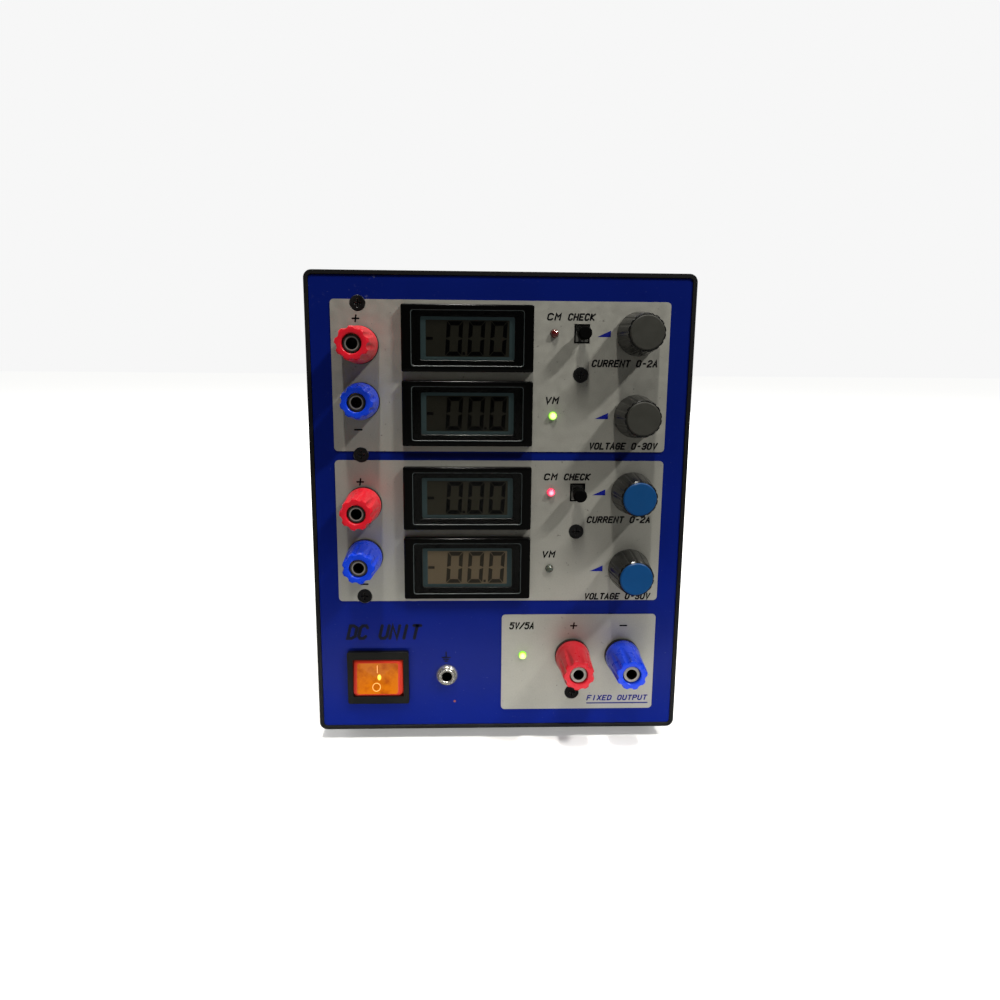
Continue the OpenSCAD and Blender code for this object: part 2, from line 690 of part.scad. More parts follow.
module transformer_clamp() color([0.6, 0.6, 0.6]) translate([0, toroid_y, 0]) {
    top = floor_z + toroid_pad + toroid_h + touch;
    difference() {
        rotate_extrude() polygon([
            [0, top - 4], [14, top - 4], [20, top], [30, top], [30, top + 1.5], [19.4, top + 1.5],
            [13.4, top - 2.5], [0, top - 2.5]]);
        rod(toroid_bolt + touch, 0, 100);
    }
    rod(toroid_bolt, foot_h - 0.5, top + 6);
    rod(7, foot_h - 3.2, foot_h - touch);
    hex_nut(13, toroid_bolt + touch, top - 2.5 + touch, top + 3);
}

// ---- Wiring ----

module wiring() color([0.6, 0.1, 0.1]) {
    stud_end = front_y + stud_back + touch;
    board_face = rear_y - power_gap - board_t - touch;
    for (i = [0:5]) {
        x = column_x(post_spots[i].x);
        z = row_z(post_spots[i].y);
        bend_y = front_y + 28 + 3 * max(3 - i, 0);
        level = lead_levels[i];
        bends = level > 0 ? [[x, bend_y, z], [x, bend_y, level]] : [];
        wire(concat([[x, stud_end, z]], bends, [[x, board_face, level > 0 ? level : z]]), 1.1);
    }
    // mains leads from the rocker switch to the inlet
    for (i = [0, 1]) {
        switch_x = column_x(rocker_spot.x) - 6;
        side_x = column_x(9 + 3 * i);
        inlet_x = column_x(inlet_spot.x) - 7 + 14 * i;
        z = row_z(rocker_spot.y) + 4 - 8 * i;
        inlet_z = row_z(inlet_spot.y) + plug_up;
        turn_y = rear_y - 40 - 5 * i;
        from_switch = [[switch_x, front_y + 24.1, z], [switch_x, front_y + 30, z]];
        along_side = [[side_x, front_y + 30, z], [side_x, turn_y, z], [side_x, turn_y, inlet_z]];
        to_inlet = [[inlet_x, turn_y, inlet_z], [inlet_x, rear_y - inlet_body.z - 9.1, inlet_z]];
        wire(concat(from_switch, along_side, to_inlet), 1.1);
    }
}

// Pan-head screws: cover sides and top, feet, rear panel, inlet, heatsink and boards
module pan_screws() color([0.1, 0.1, 0.1]) {
    side_screw_spots() translate([0, 0, touch]) pan_screw(6);
    top_screw_spots() translate([0, 0, touch]) pan_screw(6);
    foot_spots() translate([0, 0, foot_h / 2 - touch]) mirror([0, 0, 1]) pan_screw(7);
    for (x = rear_tab_x) translate([x, rear_y + touch, foot_h + tab_z]) rotate([-90, 0, 0]) pan_screw(6);
    inlet_screw_spots() translate([0, 0, inlet_flange.z + touch]) pan_screw(8);
    sink_screw_spots() translate([0, 0, sink_base + touch]) pan_screw(8);
    front_screw_spots() translate([0, 0, -board_gap - board_t - touch]) mirror([0, 0, 1]) pan_screw(4.5);
    rear_spacer_spots() translate([0, 0, -power_gap - board_t - touch]) mirror([0, 0, 1]) pan_screw(6);
}

red = [0.75, 0.05, 0.08];
blue = [0.03, 0.12, 0.75];
grey_cap = [0.2, 0.2, 0.19];
blue_cap = [0.05, 0.3, 0.6];

top_cover();
bottom_pan();
front_panel();
rear_panel();
legend_plates();
front_screws();
pan_screws();
rubber_feet();
meter_bezels();
meter_windows();
meter_lcds();
meter_boards();
potentiometers();
panel_nuts();
check_switches();
rocker_frame();
post_studs();
post_insulators();
earth_socket();
red_leds();
green_leds();
front_board();
board_spacers();
transformer();
transformer_clamp();
power_board();
capacitors();
heatsink();
power_transistors();
bridge_rectifiers();
mains_inlet();
wiring();
rocker();
fuse_drawer();
for (n = [0, 1]) check_button(n);
for (n = [0:3]) {
    knob(n);
    knob_cap(n, n < 2 ? grey_cap : blue_cap);
    pot_shaft(n);
}
for (n = [0:5]) {
    post_cap(n, n % 2 == 0 ? red : blue);
    post_insert(n);
}
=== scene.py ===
"""Bench power supply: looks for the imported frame. Lengths are in millimetres unless a name ends in _m."""
import json
import math

import bpy
import numpy as np
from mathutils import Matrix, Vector


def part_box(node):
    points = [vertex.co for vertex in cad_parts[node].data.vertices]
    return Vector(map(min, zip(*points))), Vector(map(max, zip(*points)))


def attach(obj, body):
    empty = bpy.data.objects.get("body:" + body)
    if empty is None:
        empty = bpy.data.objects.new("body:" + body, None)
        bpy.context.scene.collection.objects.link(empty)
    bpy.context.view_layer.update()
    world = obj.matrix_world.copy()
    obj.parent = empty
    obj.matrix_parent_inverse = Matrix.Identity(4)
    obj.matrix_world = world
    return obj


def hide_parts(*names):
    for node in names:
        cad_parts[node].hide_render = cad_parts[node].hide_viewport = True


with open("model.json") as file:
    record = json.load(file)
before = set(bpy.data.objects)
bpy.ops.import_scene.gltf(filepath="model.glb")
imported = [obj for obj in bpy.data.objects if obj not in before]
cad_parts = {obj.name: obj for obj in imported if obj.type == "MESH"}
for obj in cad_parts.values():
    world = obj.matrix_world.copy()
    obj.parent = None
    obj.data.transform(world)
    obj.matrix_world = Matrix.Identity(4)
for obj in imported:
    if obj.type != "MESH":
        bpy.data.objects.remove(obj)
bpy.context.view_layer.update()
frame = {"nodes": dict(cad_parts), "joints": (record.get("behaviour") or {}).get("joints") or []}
NODES = frame["nodes"]
JOINTS = {j["name"]: j for j in frame["joints"]}
ROOT = "cabinet"

MM = 0.001
FACE_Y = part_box("front_panel")[0].y / MM      # the front panel's face
FLOOR_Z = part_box("bottom_pan")[0].z / MM      # the cabinet's lower edge
HALF_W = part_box("bottom_pan")[1].x / MM
PLATE = 0.3                                   # legend plates stand this far out of the panel
DIRT_SPOT = (53.6, 11.4)                      # panel place of a spot of dirt
scene = bpy.context.scene


def on_front(u, v, out=0.0):
    """Frame point of a place on the panel: u from its left edge, v from its lower edge, out to the viewer."""
    return np.array([u - HALF_W, FACE_Y - out, v + FLOOR_Z])


def joint_spot(name):
    """Panel place (u, v) of a joint's axis."""
    p = JOINTS[name]["pos_m"]
    return p[0] / MM + HALF_W, p[2] / MM - FLOOR_Z


# ---------------------------------------------------------------- materials

class Shader:
    """A small builder for node materials around one Principled shader."""

    def __init__(self, name, color, rough=0.5, metal=0.0, coat=0.0, spec=0.5):
        self.mat = bpy.data.materials.new(name)
        self.mat.use_nodes = True
        self.tree = self.mat.node_tree
        self.bsdf = self.tree.nodes["Principled BSDF"]
        self.out = self.tree.nodes["Material Output"]
        self.set("Base Color", (*color, 1))
        self.set("Roughness", rough)
        self.set("Metallic", metal)
        self.set("Specular IOR Level", spec)
        self.set("Coat Weight", coat)
        self.color = (*color, 1)
        self.normal = None

    def set(self, socket, value):
        self.bsdf.inputs[socket].default_value = value

    def node(self, kind, **props):
        n = self.tree.nodes.new(kind)
        for k, v in props.items():
            if k in n.inputs:
                n.inputs[k].default_value = v
            else:
                setattr(n, k, v)
        return n

    def link(self, a, b):
        self.tree.links.new(a, b)

    def plug(self, socket, value):
        """Feeds a socket from another node's output, or sets a plain value."""
        if isinstance(value, bpy.types.NodeSocket):
            self.link(value, socket)
        elif value is not None:
            socket.default_value = value

    def calc(self, operation, a, b=None):
        """One step of arithmetic."""
        n = self.node("ShaderNodeMath", operation=operation)
        self.plug(n.inputs[0], a)
        self.plug(n.inputs[1], b)
        return n.outputs[0]

    def vector(self, operation, a, b=None):
        """One step of vector arithmetic; lengths, distances and dot products come out as single values."""
        n = self.node("ShaderNodeVectorMath", operation=operation)
        self.plug(n.inputs[0], a)
        self.plug(n.inputs[1], b)
        return n.outputs["Value" if operation in ("LENGTH", "DISTANCE", "DOT_PRODUCT") else "Vector"]

    def split(self, vector):
        n = self.node("ShaderNodeSeparateXYZ")
        self.link(vector, n.inputs[0])
        return n.outputs["X"], n.outputs["Y"], n.outputs["Z"]

    def coords(self, stretch=(1, 1, 1)):
        tc = self.node("ShaderNodeTexCoord")
        mp = self.node("ShaderNodeMapping")
        mp.inputs["Scale"].default_value = stretch
        self.link(tc.outputs["Object"], mp.inputs["Vector"])
        return mp.outputs["Vector"]

    def noise(self, scale, detail=3.0, rough=0.55, stretch=(1, 1, 1)):
        n = self.node("ShaderNodeTexNoise")
        n.inputs["Scale"].default_value = scale
        n.inputs["Detail"].default_value = detail
        n.inputs["Roughness"].default_value = rough
        self.link(self.coords(stretch), n.inputs["Vector"])
        return n.outputs["Fac"]

    def grey(self, fac, a, b, lo=0.0, hi=1.0):
        """Maps fac from a..b to lo..hi."""
        m = self.node("ShaderNodeMapRange")
        for k, v in zip(("From Min", "From Max", "To Min", "To Max"), (a, b, lo, hi)):
            m.inputs[k].default_value = v
        self.link(fac, m.inputs["Value"])
        return m.outputs["Result"]

    def mix(self, fac, a, b):
        m = self.node("ShaderNodeMix", data_type="RGBA")
        for socket, value in ((m.inputs[0], fac), (m.inputs[6], a), (m.inputs[7], b)):
            self.plug(socket, value)
        return m.outputs[2]

    def tint(self, fac, other):
        """Blends the base colour towards other where fac is high."""
        base = self.bsdf.inputs["Base Color"]
        now = base.links[0].from_socket if base.links else self.color
        self.link(self.mix(fac, now, (*other, 1)), base)
        return self

    def vary(self, scale, amount, detail=4.0):
        """Slow patchy change of brightness."""
        f = self.grey(self.noise(scale, detail), 0.3, 0.7, 0, amount)
        return self.tint(f, tuple(min(1, c * 1.9 + 0.002) for c in self.color[:3]))

    def rough_noise(self, scale, lo, hi, stretch=(1, 1, 1)):
        patches = self.noise(scale, 4, stretch=stretch)
        self.link(self.grey(patches, 0.3, 0.7, lo, hi), self.bsdf.inputs["Roughness"])

    def bump(self, height, strength, distance):
        b = self.node("ShaderNodeBump")
        b.inputs["Strength"].default_value = strength
        b.inputs["Distance"].default_value = distance
        self.link(height, b.inputs["Height"])
        if self.normal is not None:
            self.link(self.normal, b.inputs["Normal"])
        self.normal = b.outputs["Normal"]
        self.link(self.normal, self.bsdf.inputs["Normal"])

    def bevel(self, radius):
        """The surface direction with edges rounded off."""
        n = self.node("ShaderNodeBevel", samples=4)
        n.inputs["Radius"].default_value = radius * MM
        return n.outputs["Normal"]

    def soft_edges(self, radius):
        """Rounds the shading of sharp edges; comes before any bump."""
        self.normal = self.bevel(radius)
        self.link(self.normal, self.bsdf.inputs["Normal"])

    def edge_mask(self, radius, gain=1.0):
        """High on sharp edges, broken up by noise; the lighter tint it drives is edge wear and also a painted
        highlight.
        """
        true_normal = self.node("ShaderNodeNewGeometry").outputs["True Normal"]
        flatness = self.vector("DOT_PRODUCT", self.bevel(radius), true_normal)
        edge = self.grey(flatness, 0.99, 0.85)
        broken = self.grey(self.noise(700, 5), 0.45, 0.62)
        return self.calc("MULTIPLY", self.calc("MULTIPLY", edge, broken), gain)


def enamel_black():
    s = Shader("black_enamel", (0.0062, 0.0062, 0.0066), rough=0.42, spec=0.25)
    s.soft_edges(0.35)
    s.bump(s.noise(1300, 2), 0.35, 0.00012)
    s.bump(s.noise(420, 3), 0.12, 0.00018)
    s.vary(60, 0.25)
    # edges lightened a little: wear and a painted highlight
    s.tint(s.edge_mask(0.5, 0.25), (0.045, 0.045, 0.044))
    return s.mat


def enamel_blue():
    s = Shader("blue_enamel", (0.0019, 0.0085, 0.125), rough=0.34, spec=0.08)
    s.bump(s.noise(900, 2), 0.10, 0.00006)
    s.bump(s.noise(160, 2), 0.10, 0.00012)
    s.vary(35, 0.12)
    # small pale scuffs, densest near the upper left corner
    here = s.coords()
    x, _, z = s.split(here)
    corner = s.calc("MULTIPLY", s.grey(z, 0.168, 0.182), s.grey(x, 0.0, -0.045))
    fleck = s.grey(s.noise(560, 6, 0.7), 0.60, 0.68)
    patch = s.grey(s.noise(95, 2), 0.5, 0.6)
    scuffs = s.calc("MULTIPLY", s.calc("MULTIPLY", fleck, patch), corner)
    s.tint(s.grey(scuffs, 0, 1, 0, 0.55), (0.25, 0.27, 0.42))
    dust = s.grey(s.noise(1500, 2, 0.5), 0.735, 0.77, 0, 0.35)
    s.tint(dust, (0.12, 0.14, 0.3))
    # one small spot of orange dirt below the earth socket
    far = s.vector("DISTANCE", here, tuple(on_front(*DIRT_SPOT) * MM))
    s.tint(s.grey(far, 0.0006, 0.0002, 0, 0.97), (0.26, 0.075, 0.004))
    return s.mat


def silver_plate():
    s = Shader("legend_silver", (0.462, 0.457, 0.406), rough=0.43, metal=0.65)
    s.bump(s.noise(2400, 2), 0.30, 0.00004)
    grain = s.grey(s.noise(2100, 3, 0.6), 0.35, 0.65, 0, 0.28)
    s.tint(grain, (0.31, 0.305, 0.27))
    s.vary(50, 0.05)
    specks = s.grey(s.noise(620, 3), 0.70, 0.76, 0, 0.6)
    s.tint(specks, (0.12, 0.11, 0.10))
    s.rough_noise(300, 0.42, 0.56)
    return s.mat


def plastic(name, color, rough=0.35, coat=0.0, grain=1600, depth=0.12, wear_and_highlight=0.0, soft=0.15, sss=0.0, spec=0.4,
            patches=0.12):
    s = Shader(name, color, rough=rough, coat=coat, spec=spec)
    if soft:
        s.soft_edges(soft)
    s.bump(s.noise(grain, 2), depth, 0.00005)
    s.bump(s.noise(180, 2), depth * 0.7, 0.00008)
    s.vary(140, patches)
    s.rough_noise(500, rough * 0.8, rough * 1.25)
    if wear_and_highlight:
        # lighter edges: wear and a painted highlight
        s.tint(s.edge_mask(0.35, wear_and_highlight), tuple(min(1, c * 2.2 + 0.07) for c in color))
    if sss:
        s.set("Subsurface Weight", sss)
        s.set("Subsurface Radius", (0.004, 0.0015, 0.001))
        s.set("Subsurface Scale", 0.6)
    return s.mat


def metal(name, color, rough=0.28, stretch=(1, 1, 1), grain=900, wear_and_highlight=0.0):
    s = Shader(name, color, rough=rough, metal=1.0)
    s.soft_edges(0.12)
    s.bump(s.noise(grain, 3, stretch=stretch), 0.16, 0.00003)
    s.rough_noise(grain * 0.4, rough * 0.7, rough * 1.4, stretch)
    tarnish = s.grey(s.noise(260, 5), 0.52, 0.72, 0, 0.45)
    s.tint(tarnish, tuple(c * 0.55 for c in color))
    if wear_and_highlight:
        # pale edges: wear and a painted highlight
        s.tint(s.edge_mask(0.3, wear_and_highlight), (0.75, 0.75, 0.74))
    return s.mat


def glow(name, color, strength, core=None, core_strength=0.0, center=None, radius=1.0, rough=0.2, coat=0.3,
         spec=0.4, squash=1.0, blotch=None):
    """A lit translucent moulding; a core burns brighter within radius of center, a frame point.

    squash narrows the core sideways; blotch is a darker tone that clouds the moulding.
    """
    s = Shader(name, color, rough=rough, coat=coat, spec=spec)
    s.bump(s.noise(900, 2), 0.08, 0.00005)
    s.set("Emission Color", (*color, 1))
    s.set("Emission Strength", strength)
    tone = (*color, 1)
    if blotch is not None:
        cloud = s.grey(s.noise(190, 3, 0.6), 0.46, 0.66, 0, 0.85)
        tone = s.mix(cloud, tone, (*blotch, 1))
        s.link(tone, s.bsdf.inputs["Base Color"])
        s.link(tone, s.bsdf.inputs["Emission Color"])
    if core is not None:
        middle = (center[0] * MM * squash, center[1] * MM, center[2] * MM)
        away = s.vector("DISTANCE", s.coords((squash, 1, 1)), middle)
        near = s.grey(away, radius * MM, radius * 0.35 * MM)
        s.link(s.mix(near, tone, (*core, 1)), s.bsdf.inputs["Emission Color"])
        power = s.grey(near, 0, 1, strength, core_strength)
        s.link(power, s.bsdf.inputs["Emission Strength"])
    return s.mat


def window_glass():
    """Clear window: mostly transparent with a sharp reflection."""
    s = Shader("meter_window_glass", (0.02, 0.02, 0.02), rough=0.06)
    clear = s.node("ShaderNodeBsdfTransparent")
    clear.inputs["Color"].default_value = (0.92, 0.93, 0.92, 1)
    shine = s.node("ShaderNodeBsdfGlossy")
    fres = s.node("ShaderNodeFresnel")
    fres.inputs["IOR"].default_value = 1.45
    smear = s.grey(s.noise(90, 4), 0.4, 0.7, 0.03, 0.12)
    s.link(smear, shine.inputs["Roughness"])
    mix = s.node("ShaderNodeMixShader")
    s.link(s.grey(fres.outputs[0], 0, 1, 0, 0.45), mix.inputs[0])
    s.link(clear.outputs[0], mix.inputs[1])
    s.link(shine.outputs[0], mix.inputs[2])
    s.link(mix.outputs[0], s.out.inputs["Surface"])
    return s.mat


def lcd_face(name, color):
    """A display face: fine grain, slow clouding and a faint painted glow that lifts it in the shaded window;
    the cell has no lamp.
    """
    s = Shader(name, color, rough=0.45, spec=0.02)
    s.tint(s.grey(s.noise(2600, 1), 0.4, 0.6, 0, 0.12), tuple(c * 1.5 for c in color))
    s.tint(s.grey(s.noise(55, 2), 0.35, 0.65, 0, 0.35), tuple(c * 0.6 for c in color))
    # painted light: a faint emission, though the reflective cell has no lamp of its own
    s.set("Emission Color", (*color, 1))
    s.set("Emission Strength", 0.16)
    return s.mat


def board():
    s = Shader("circuit_board", (0.012, 0.09, 0.03), rough=0.4, coat=0.3)
    tracks = s.grey(s.noise(330, 1, stretch=(1, 1, 0.2)), 0.50, 0.53, 0, 0.7)
    s.tint(tracks, (0.03, 0.17, 0.06))
    pads = s.grey(s.noise(520, 0), 0.70, 0.72)
    s.tint(pads, (0.55, 0.53, 0.48))
    s.bump(tracks, 0.3, 0.00005)
    return s.mat


def winding():
    """Enamelled copper turns round a ring, which show as fine rays about its hub."""
    s = Shader("copper_winding", (0.42, 0.15, 0.05), rough=0.32, metal=0.7, coat=0.5)
    lo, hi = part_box("transformer")
    x, y, _ = s.split(s.vector("SUBTRACT", s.coords(), tuple((lo + hi) / 2)))
    rays = 210
    wave = s.calc("SINE", s.calc("MULTIPLY", s.calc("ARCTAN2", y, x), rays))
    s.bump(wave, 0.7, 0.0003)
    # the grooves between turns are darkened: painted shade
    s.tint(s.grey(wave, 0.2, -1, 0, 0.7), (0.12, 0.035, 0.01))
    return s.mat


M = {}
M["enamel"] = enamel_black()
M["blue"] = enamel_blue()
M["silver"] = silver_plate()
M["ink"] = plastic("legend_ink", (0.003, 0.003, 0.0035), rough=0.55, soft=0, spec=0.1)
M["ink_blue"] = plastic("legend_blue_ink", (0.004, 0.008, 0.15), rough=0.5, soft=0, spec=0.1)
M["ink_dark"] = plastic("title_ink", (0.004, 0.005, 0.012), rough=0.45, soft=0, spec=0.15)
M["gloss"] = plastic("bezel_black", (0.0012, 0.0012, 0.0011), rough=0.16, depth=0.35, spec=0.16, patches=0)
# the window opening's chamfer: a lighter worn edge that also carries a painted highlight
M["rim"] = plastic("bezel_rim_painted_highlight", (0.045, 0.055, 0.055), rough=0.3, depth=0.1, spec=0.3)
M["matte_black"] = plastic("moulding_black", (0.010, 0.010, 0.0085), rough=0.34, depth=0.22, spec=0.22)
M["frame"] = plastic("rocker_frame_black", (0.0055, 0.0055, 0.0045), rough=0.17, depth=0.1, soft=0.3,
                     spec=0.4)
M["button"] = plastic("button_black", (0.002, 0.002, 0.002), rough=0.6, depth=0.2, soft=0.2, spec=0.02,
                      patches=0)
M["guide"] = plastic("switch_guide", (0.13, 0.13, 0.12), rough=0.4, depth=0.2, spec=0.4)
M["knob"] = plastic("knob_black", (0.0055, 0.0055, 0.005), rough=0.22, depth=0.10, wear_and_highlight=0.2, spec=0.45)
M["cap_grey"] = plastic("knob_cap_dark", (0.038, 0.038, 0.032), rough=0.45, depth=0.3, spec=0.25)
M["cap_blue"] = plastic("knob_cap_blue", (0.003, 0.050, 0.165), rough=0.4, depth=0.25, spec=0.25)
# the darker copies for the fixed posts 5 and 6 are painted shade, against the extra light of the low bounce
# lamp
for key, tone, rough, scatter in (("post_red", (0.66, 0.010, 0.024), 0.32, 0.10),
                                ("post_blue", (0.004, 0.046, 0.62), 0.30, 0.08),
                                ("post_red_painted_shade", (0.42, 0.009, 0.018), 0.32, 0.10),
                                ("post_blue_painted_shade", (0.0035, 0.036, 0.50), 0.30, 0.08)):
    M[key] = plastic(key, tone, rough=rough, coat=0.10, depth=0.05, soft=0, sss=scatter, spec=0.35,
                     patches=0.05)
M["nickel"] = metal("nickel", (0.72, 0.69, 0.62), rough=0.22)
M["earth_nickel"] = Shader("earth_nickel", (0.62, 0.60, 0.54), rough=0.26, metal=0.86).vary(400, 0.05).mat
# dark finish for the insides of the holes: painted shade
M["bore"] = metal("socket_bore_painted_shade", (0.05, 0.047, 0.042), rough=0.4)
M["zinc"] = metal("zinc", (0.55, 0.55, 0.52), rough=0.35)
M["brass"] = metal("brass", (0.78, 0.57, 0.25), rough=0.25)
M["screw"] = metal("black_screw", (0.05, 0.05, 0.05), rough=0.38, wear_and_highlight=0.5)
M["rubber"] = plastic("rubber", (0.012, 0.012, 0.012), rough=0.75, grain=900, depth=0.35)
M["fins"] = plastic("black_anodised", (0.020, 0.020, 0.022), rough=0.4, grain=2500, depth=0.2, wear_and_highlight=0.35,
                    spec=0.6)
M["window"] = window_glass()
# the four cells are one kind; their tones are painted light and shade, brighter down the panel, and the
# fourth also gets paler digits
LCD_TONES = [(0.020, 0.0185, 0.0135), (0.0195, 0.0180, 0.0130), (0.032, 0.0285, 0.0195),
             (0.150, 0.112, 0.072)]
for k, tone in enumerate(LCD_TONES):
    M[f"lcd_{k + 1}"] = lcd_face(f"lcd_cell_{k + 1}", tone)
M["lcd_ring"] = lcd_face("lcd_border", (0.040, 0.062, 0.066))
for key, tone in (("lcd_segment", (0.0006, 0.0006, 0.0006)), ("lcd_segment_painted_pale", (0.036, 0.029, 0.021))):
    M[key] = plastic(key, tone, rough=0.5, depth=0.02, soft=0, spec=0.0, patches=0)
M["board"] = board()
M["winding"] = winding()
M["sleeve"] = plastic("shrink_sleeve", (0.010, 0.012, 0.05), rough=0.3, coat=0.4)
M["epoxy"] = plastic("epoxy", (0.018, 0.018, 0.018), rough=0.55, depth=0.4)
M["nylon"] = plastic("nylon", (0.62, 0.59, 0.48), rough=0.45)
M["wire"] = plastic("wire_insulation", (0.35, 0.02, 0.02), rough=0.4)

CAD_MATERIALS = {
    "top_cover": "enamel", "bottom_pan": "enamel", "rear_panel": "enamel", "front_panel": "blue",
    "legend_plates": "silver", "front_screws": "screw", "pan_screws": "screw", "rubber_feet": "rubber",
    "meter_windows": "window", "meter_boards": "board", "potentiometers": "zinc", "panel_nuts": "zinc",
    "check_switches": "guide", "rocker_frame": "frame", "post_studs": "nickel",
    "post_insulators": "matte_black", "earth_socket": "earth_nickel", "front_board": "board",
    "board_spacers": "nylon", "transformer": "winding", "transformer_clamp": "zinc", "power_board": "board",
    "capacitors": "sleeve", "heatsink": "fins", "power_transistors": "epoxy", "bridge_rectifiers": "epoxy",
    "mains_inlet": "matte_black", "wiring": "wire", "fuse_drawer": "matte_black",
    "check_button_1": "button", "check_button_2": "button"}
for k in range(1, 5):
    CAD_MATERIALS[f"knob_{k}"] = "knob"
    CAD_MATERIALS[f"knob_cap_{k}"] = "cap_grey" if k < 3 else "cap_blue"
    CAD_MATERIALS[f"pot_shaft_{k}"] = "zinc"
for k in range(1, 7):
    CAD_MATERIALS[f"post_insert_{k}"] = "brass"
for node_name, key in CAD_MATERIALS.items():
    node_mesh = NODES[node_name].data
    node_mesh.materials.clear()
    node_mesh.materials.append(M[key])

# the front rim of each check switch guide takes the black button finish as painted shade for the shadowed gap
# round it; its floor stays grey
guide_mesh = NODES["check_switches"].data
guide_mesh.materials.append(M["button"])
shadow_rim_y_m = (FACE_Y - 0.1) * MM
for poly in guide_mesh.polygons:
    if poly.center.y < shadow_rim_y_m:
        poly.material_index = 1

POST_JOINTS = [JOINTS[f"post_{k}_turn"]["pos_m"] for k in range(1, 7)]
BORE_R = 2.03      # faces nearer than this to a socket's axis line its hole


def stud_metal(k, outer):
    """Nickel with a pale lip round the hole and the given tone outside it, about the axis of post k; that
    outer tone is painted light, the shade and cap reflection where the stud sits deep.
    """
    s = Shader(f"stud_nickel_{k}", (0.66, 0.63, 0.57), rough=0.3, metal=0.8)
    x, _, z = POST_JOINTS[k - 1]
    sideways = s.vector("MULTIPLY", s.vector("SUBTRACT", s.coords(), (x, 0, z)), (1, 0, 1))
    s.tint(s.grey(s.vector("LENGTH", sideways), 0.00235, 0.0025, 0, 0.92), outer)
    s.bump(s.noise(1200, 2), 0.08, 0.00003)
    return s.mat


RED_REFLECTION_IN_SHADE = (0.05, 0.03, 0.026)
PALE_NICKEL = (0.6, 0.57, 0.5)
# painted shade and red reflection round each stud's lip where it sits deep in its cap, plain pale nickel on
# the fixed posts; from the upper red post to the fixed blue one
STUD_PAINTED_TONES = [RED_REFLECTION_IN_SHADE, (0.06, 0.055, 0.06), RED_REFLECTION_IN_SHADE, (0.12, 0.11, 0.10), PALE_NICKEL, PALE_NICKEL]
stud_mesh = NODES["post_studs"].data
stud_mesh.materials.clear()
for k, tone in enumerate(STUD_PAINTED_TONES):
    stud_mesh.materials.append(stud_metal(k + 1, tone))
# faces inside each hole take the dark finish as painted shade
stud_mesh.materials.append(M["bore"])
for poly in stud_mesh.polygons:
    away = [math.hypot(poly.center.x - p[0], poly.center.z - p[2]) for p in POST_JOINTS]
    nearest = away.index(min(away))
    poly.material_index = len(STUD_PAINTED_TONES) if away[nearest] < BORE_R * MM else nearest


# ---------------------------------------------------------------- mesh tools

def piece(name, verts, faces, material, body=ROOT, replaces=(), angle=35):
    """A named mesh piece from points in frame millimetres, smooth except across edges sharper than angle."""
    me = bpy.data.meshes.new(name)
    me.from_pydata([tuple(float(c) * MM for c in v) for v in verts], [], faces)
    me.update()
    me.polygons.foreach_set("use_smooth", [True] * len(me.polygons))
    me.set_sharp_from_angle(angle=math.radians(angle))
    me.materials.append(material)
    ob = bpy.data.objects.new(name, me)
    scene.collection.objects.link(ob)
    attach(ob, body)
    if replaces:
        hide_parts(*replaces)
    return ob


def place(local, u, v, out=0.0, tilt=0.0, pivot_out=0.0):
    """Local points (right, up, out) to a panel place in the frame, tipped about X through pivot_out."""
    p = np.asarray(local, float).copy()
    if tilt:
        c, s = math.cos(tilt), math.sin(tilt)
        p = np.column_stack([p[:, 0], p[:, 1] * c - p[:, 2] * s, p[:, 1] * s + p[:, 2] * c])
    p[:, 2] += pivot_out
    base = on_front(u, v, out)
    return np.column_stack([base[0] + p[:, 0], base[1] - p[:, 2], base[2] + p[:, 1]])


def rounded(points, radius, n=4):
    """A profile whose inner corners are rounded; radius is one number or one per inner corner."""
    pts = [np.array(p, float) for p in points]
    out = [pts[0]]
    for i in range(1, len(pts) - 1):
        r = radius if np.isscalar(radius) else radius[i - 1]
        a, b, c = pts[i - 1], pts[i], pts[i + 1]
        da, dc = a - b, c - b
        la, lc = np.linalg.norm(da), np.linalg.norm(dc)
        half = math.acos(max(-1, min(1, float(da @ dc) / (la * lc)))) / 2
        t = min(r / max(math.tan(half), 1e-6), 0.45 * la, 0.45 * lc)
        if r <= 0 or t < 1e-4 or half > math.radians(88):
            out.append(b)
            continue
        p0, p1 = b + da / la * t, b + dc / lc * t
        for k in range(n + 1):
            s = k / n
            out.append((1 - s) ** 2 * p0 + 2 * s * (1 - s) * b + s ** 2 * p1)
    out.append(pts[-1])
    return [tuple(p) for p in out]


def turned(profile, n=96, shape=None, loop=False):
    """Points and faces of a form turned from (radius, out) pairs; shape(r, out, angles) alters the radius."""
    ang = np.arange(n) * 2 * math.pi / n
    verts, rings, faces = [], [], []
    for r, h in profile:
        if r < 1e-6:
            rings.append([len(verts)])
            verts.append((0, 0, h))
            continue
        rr = np.full(n, r) if shape is None else shape(r, h, ang)
        rings.append(list(range(len(verts), len(verts) + n)))
        verts += [(rr[i] * math.cos(ang[i]), rr[i] * math.sin(ang[i]), h) for i in range(n)]
    pairs = list(zip(rings, rings[1:])) + ([(rings[-1], rings[0])] if loop else [])
    for a, b in pairs:
        for i in range(n):
            j = (i + 1) % n
            if len(a) == 1 and len(b) > 1:
                faces.append((a[0], b[j], b[i]))
            elif len(b) == 1 and len(a) > 1:
                faces.append((a[i], a[j], b[0]))
            elif len(a) > 1:
                faces.append((a[i], a[j], b[j], b[i]))
    return np.array(verts), faces


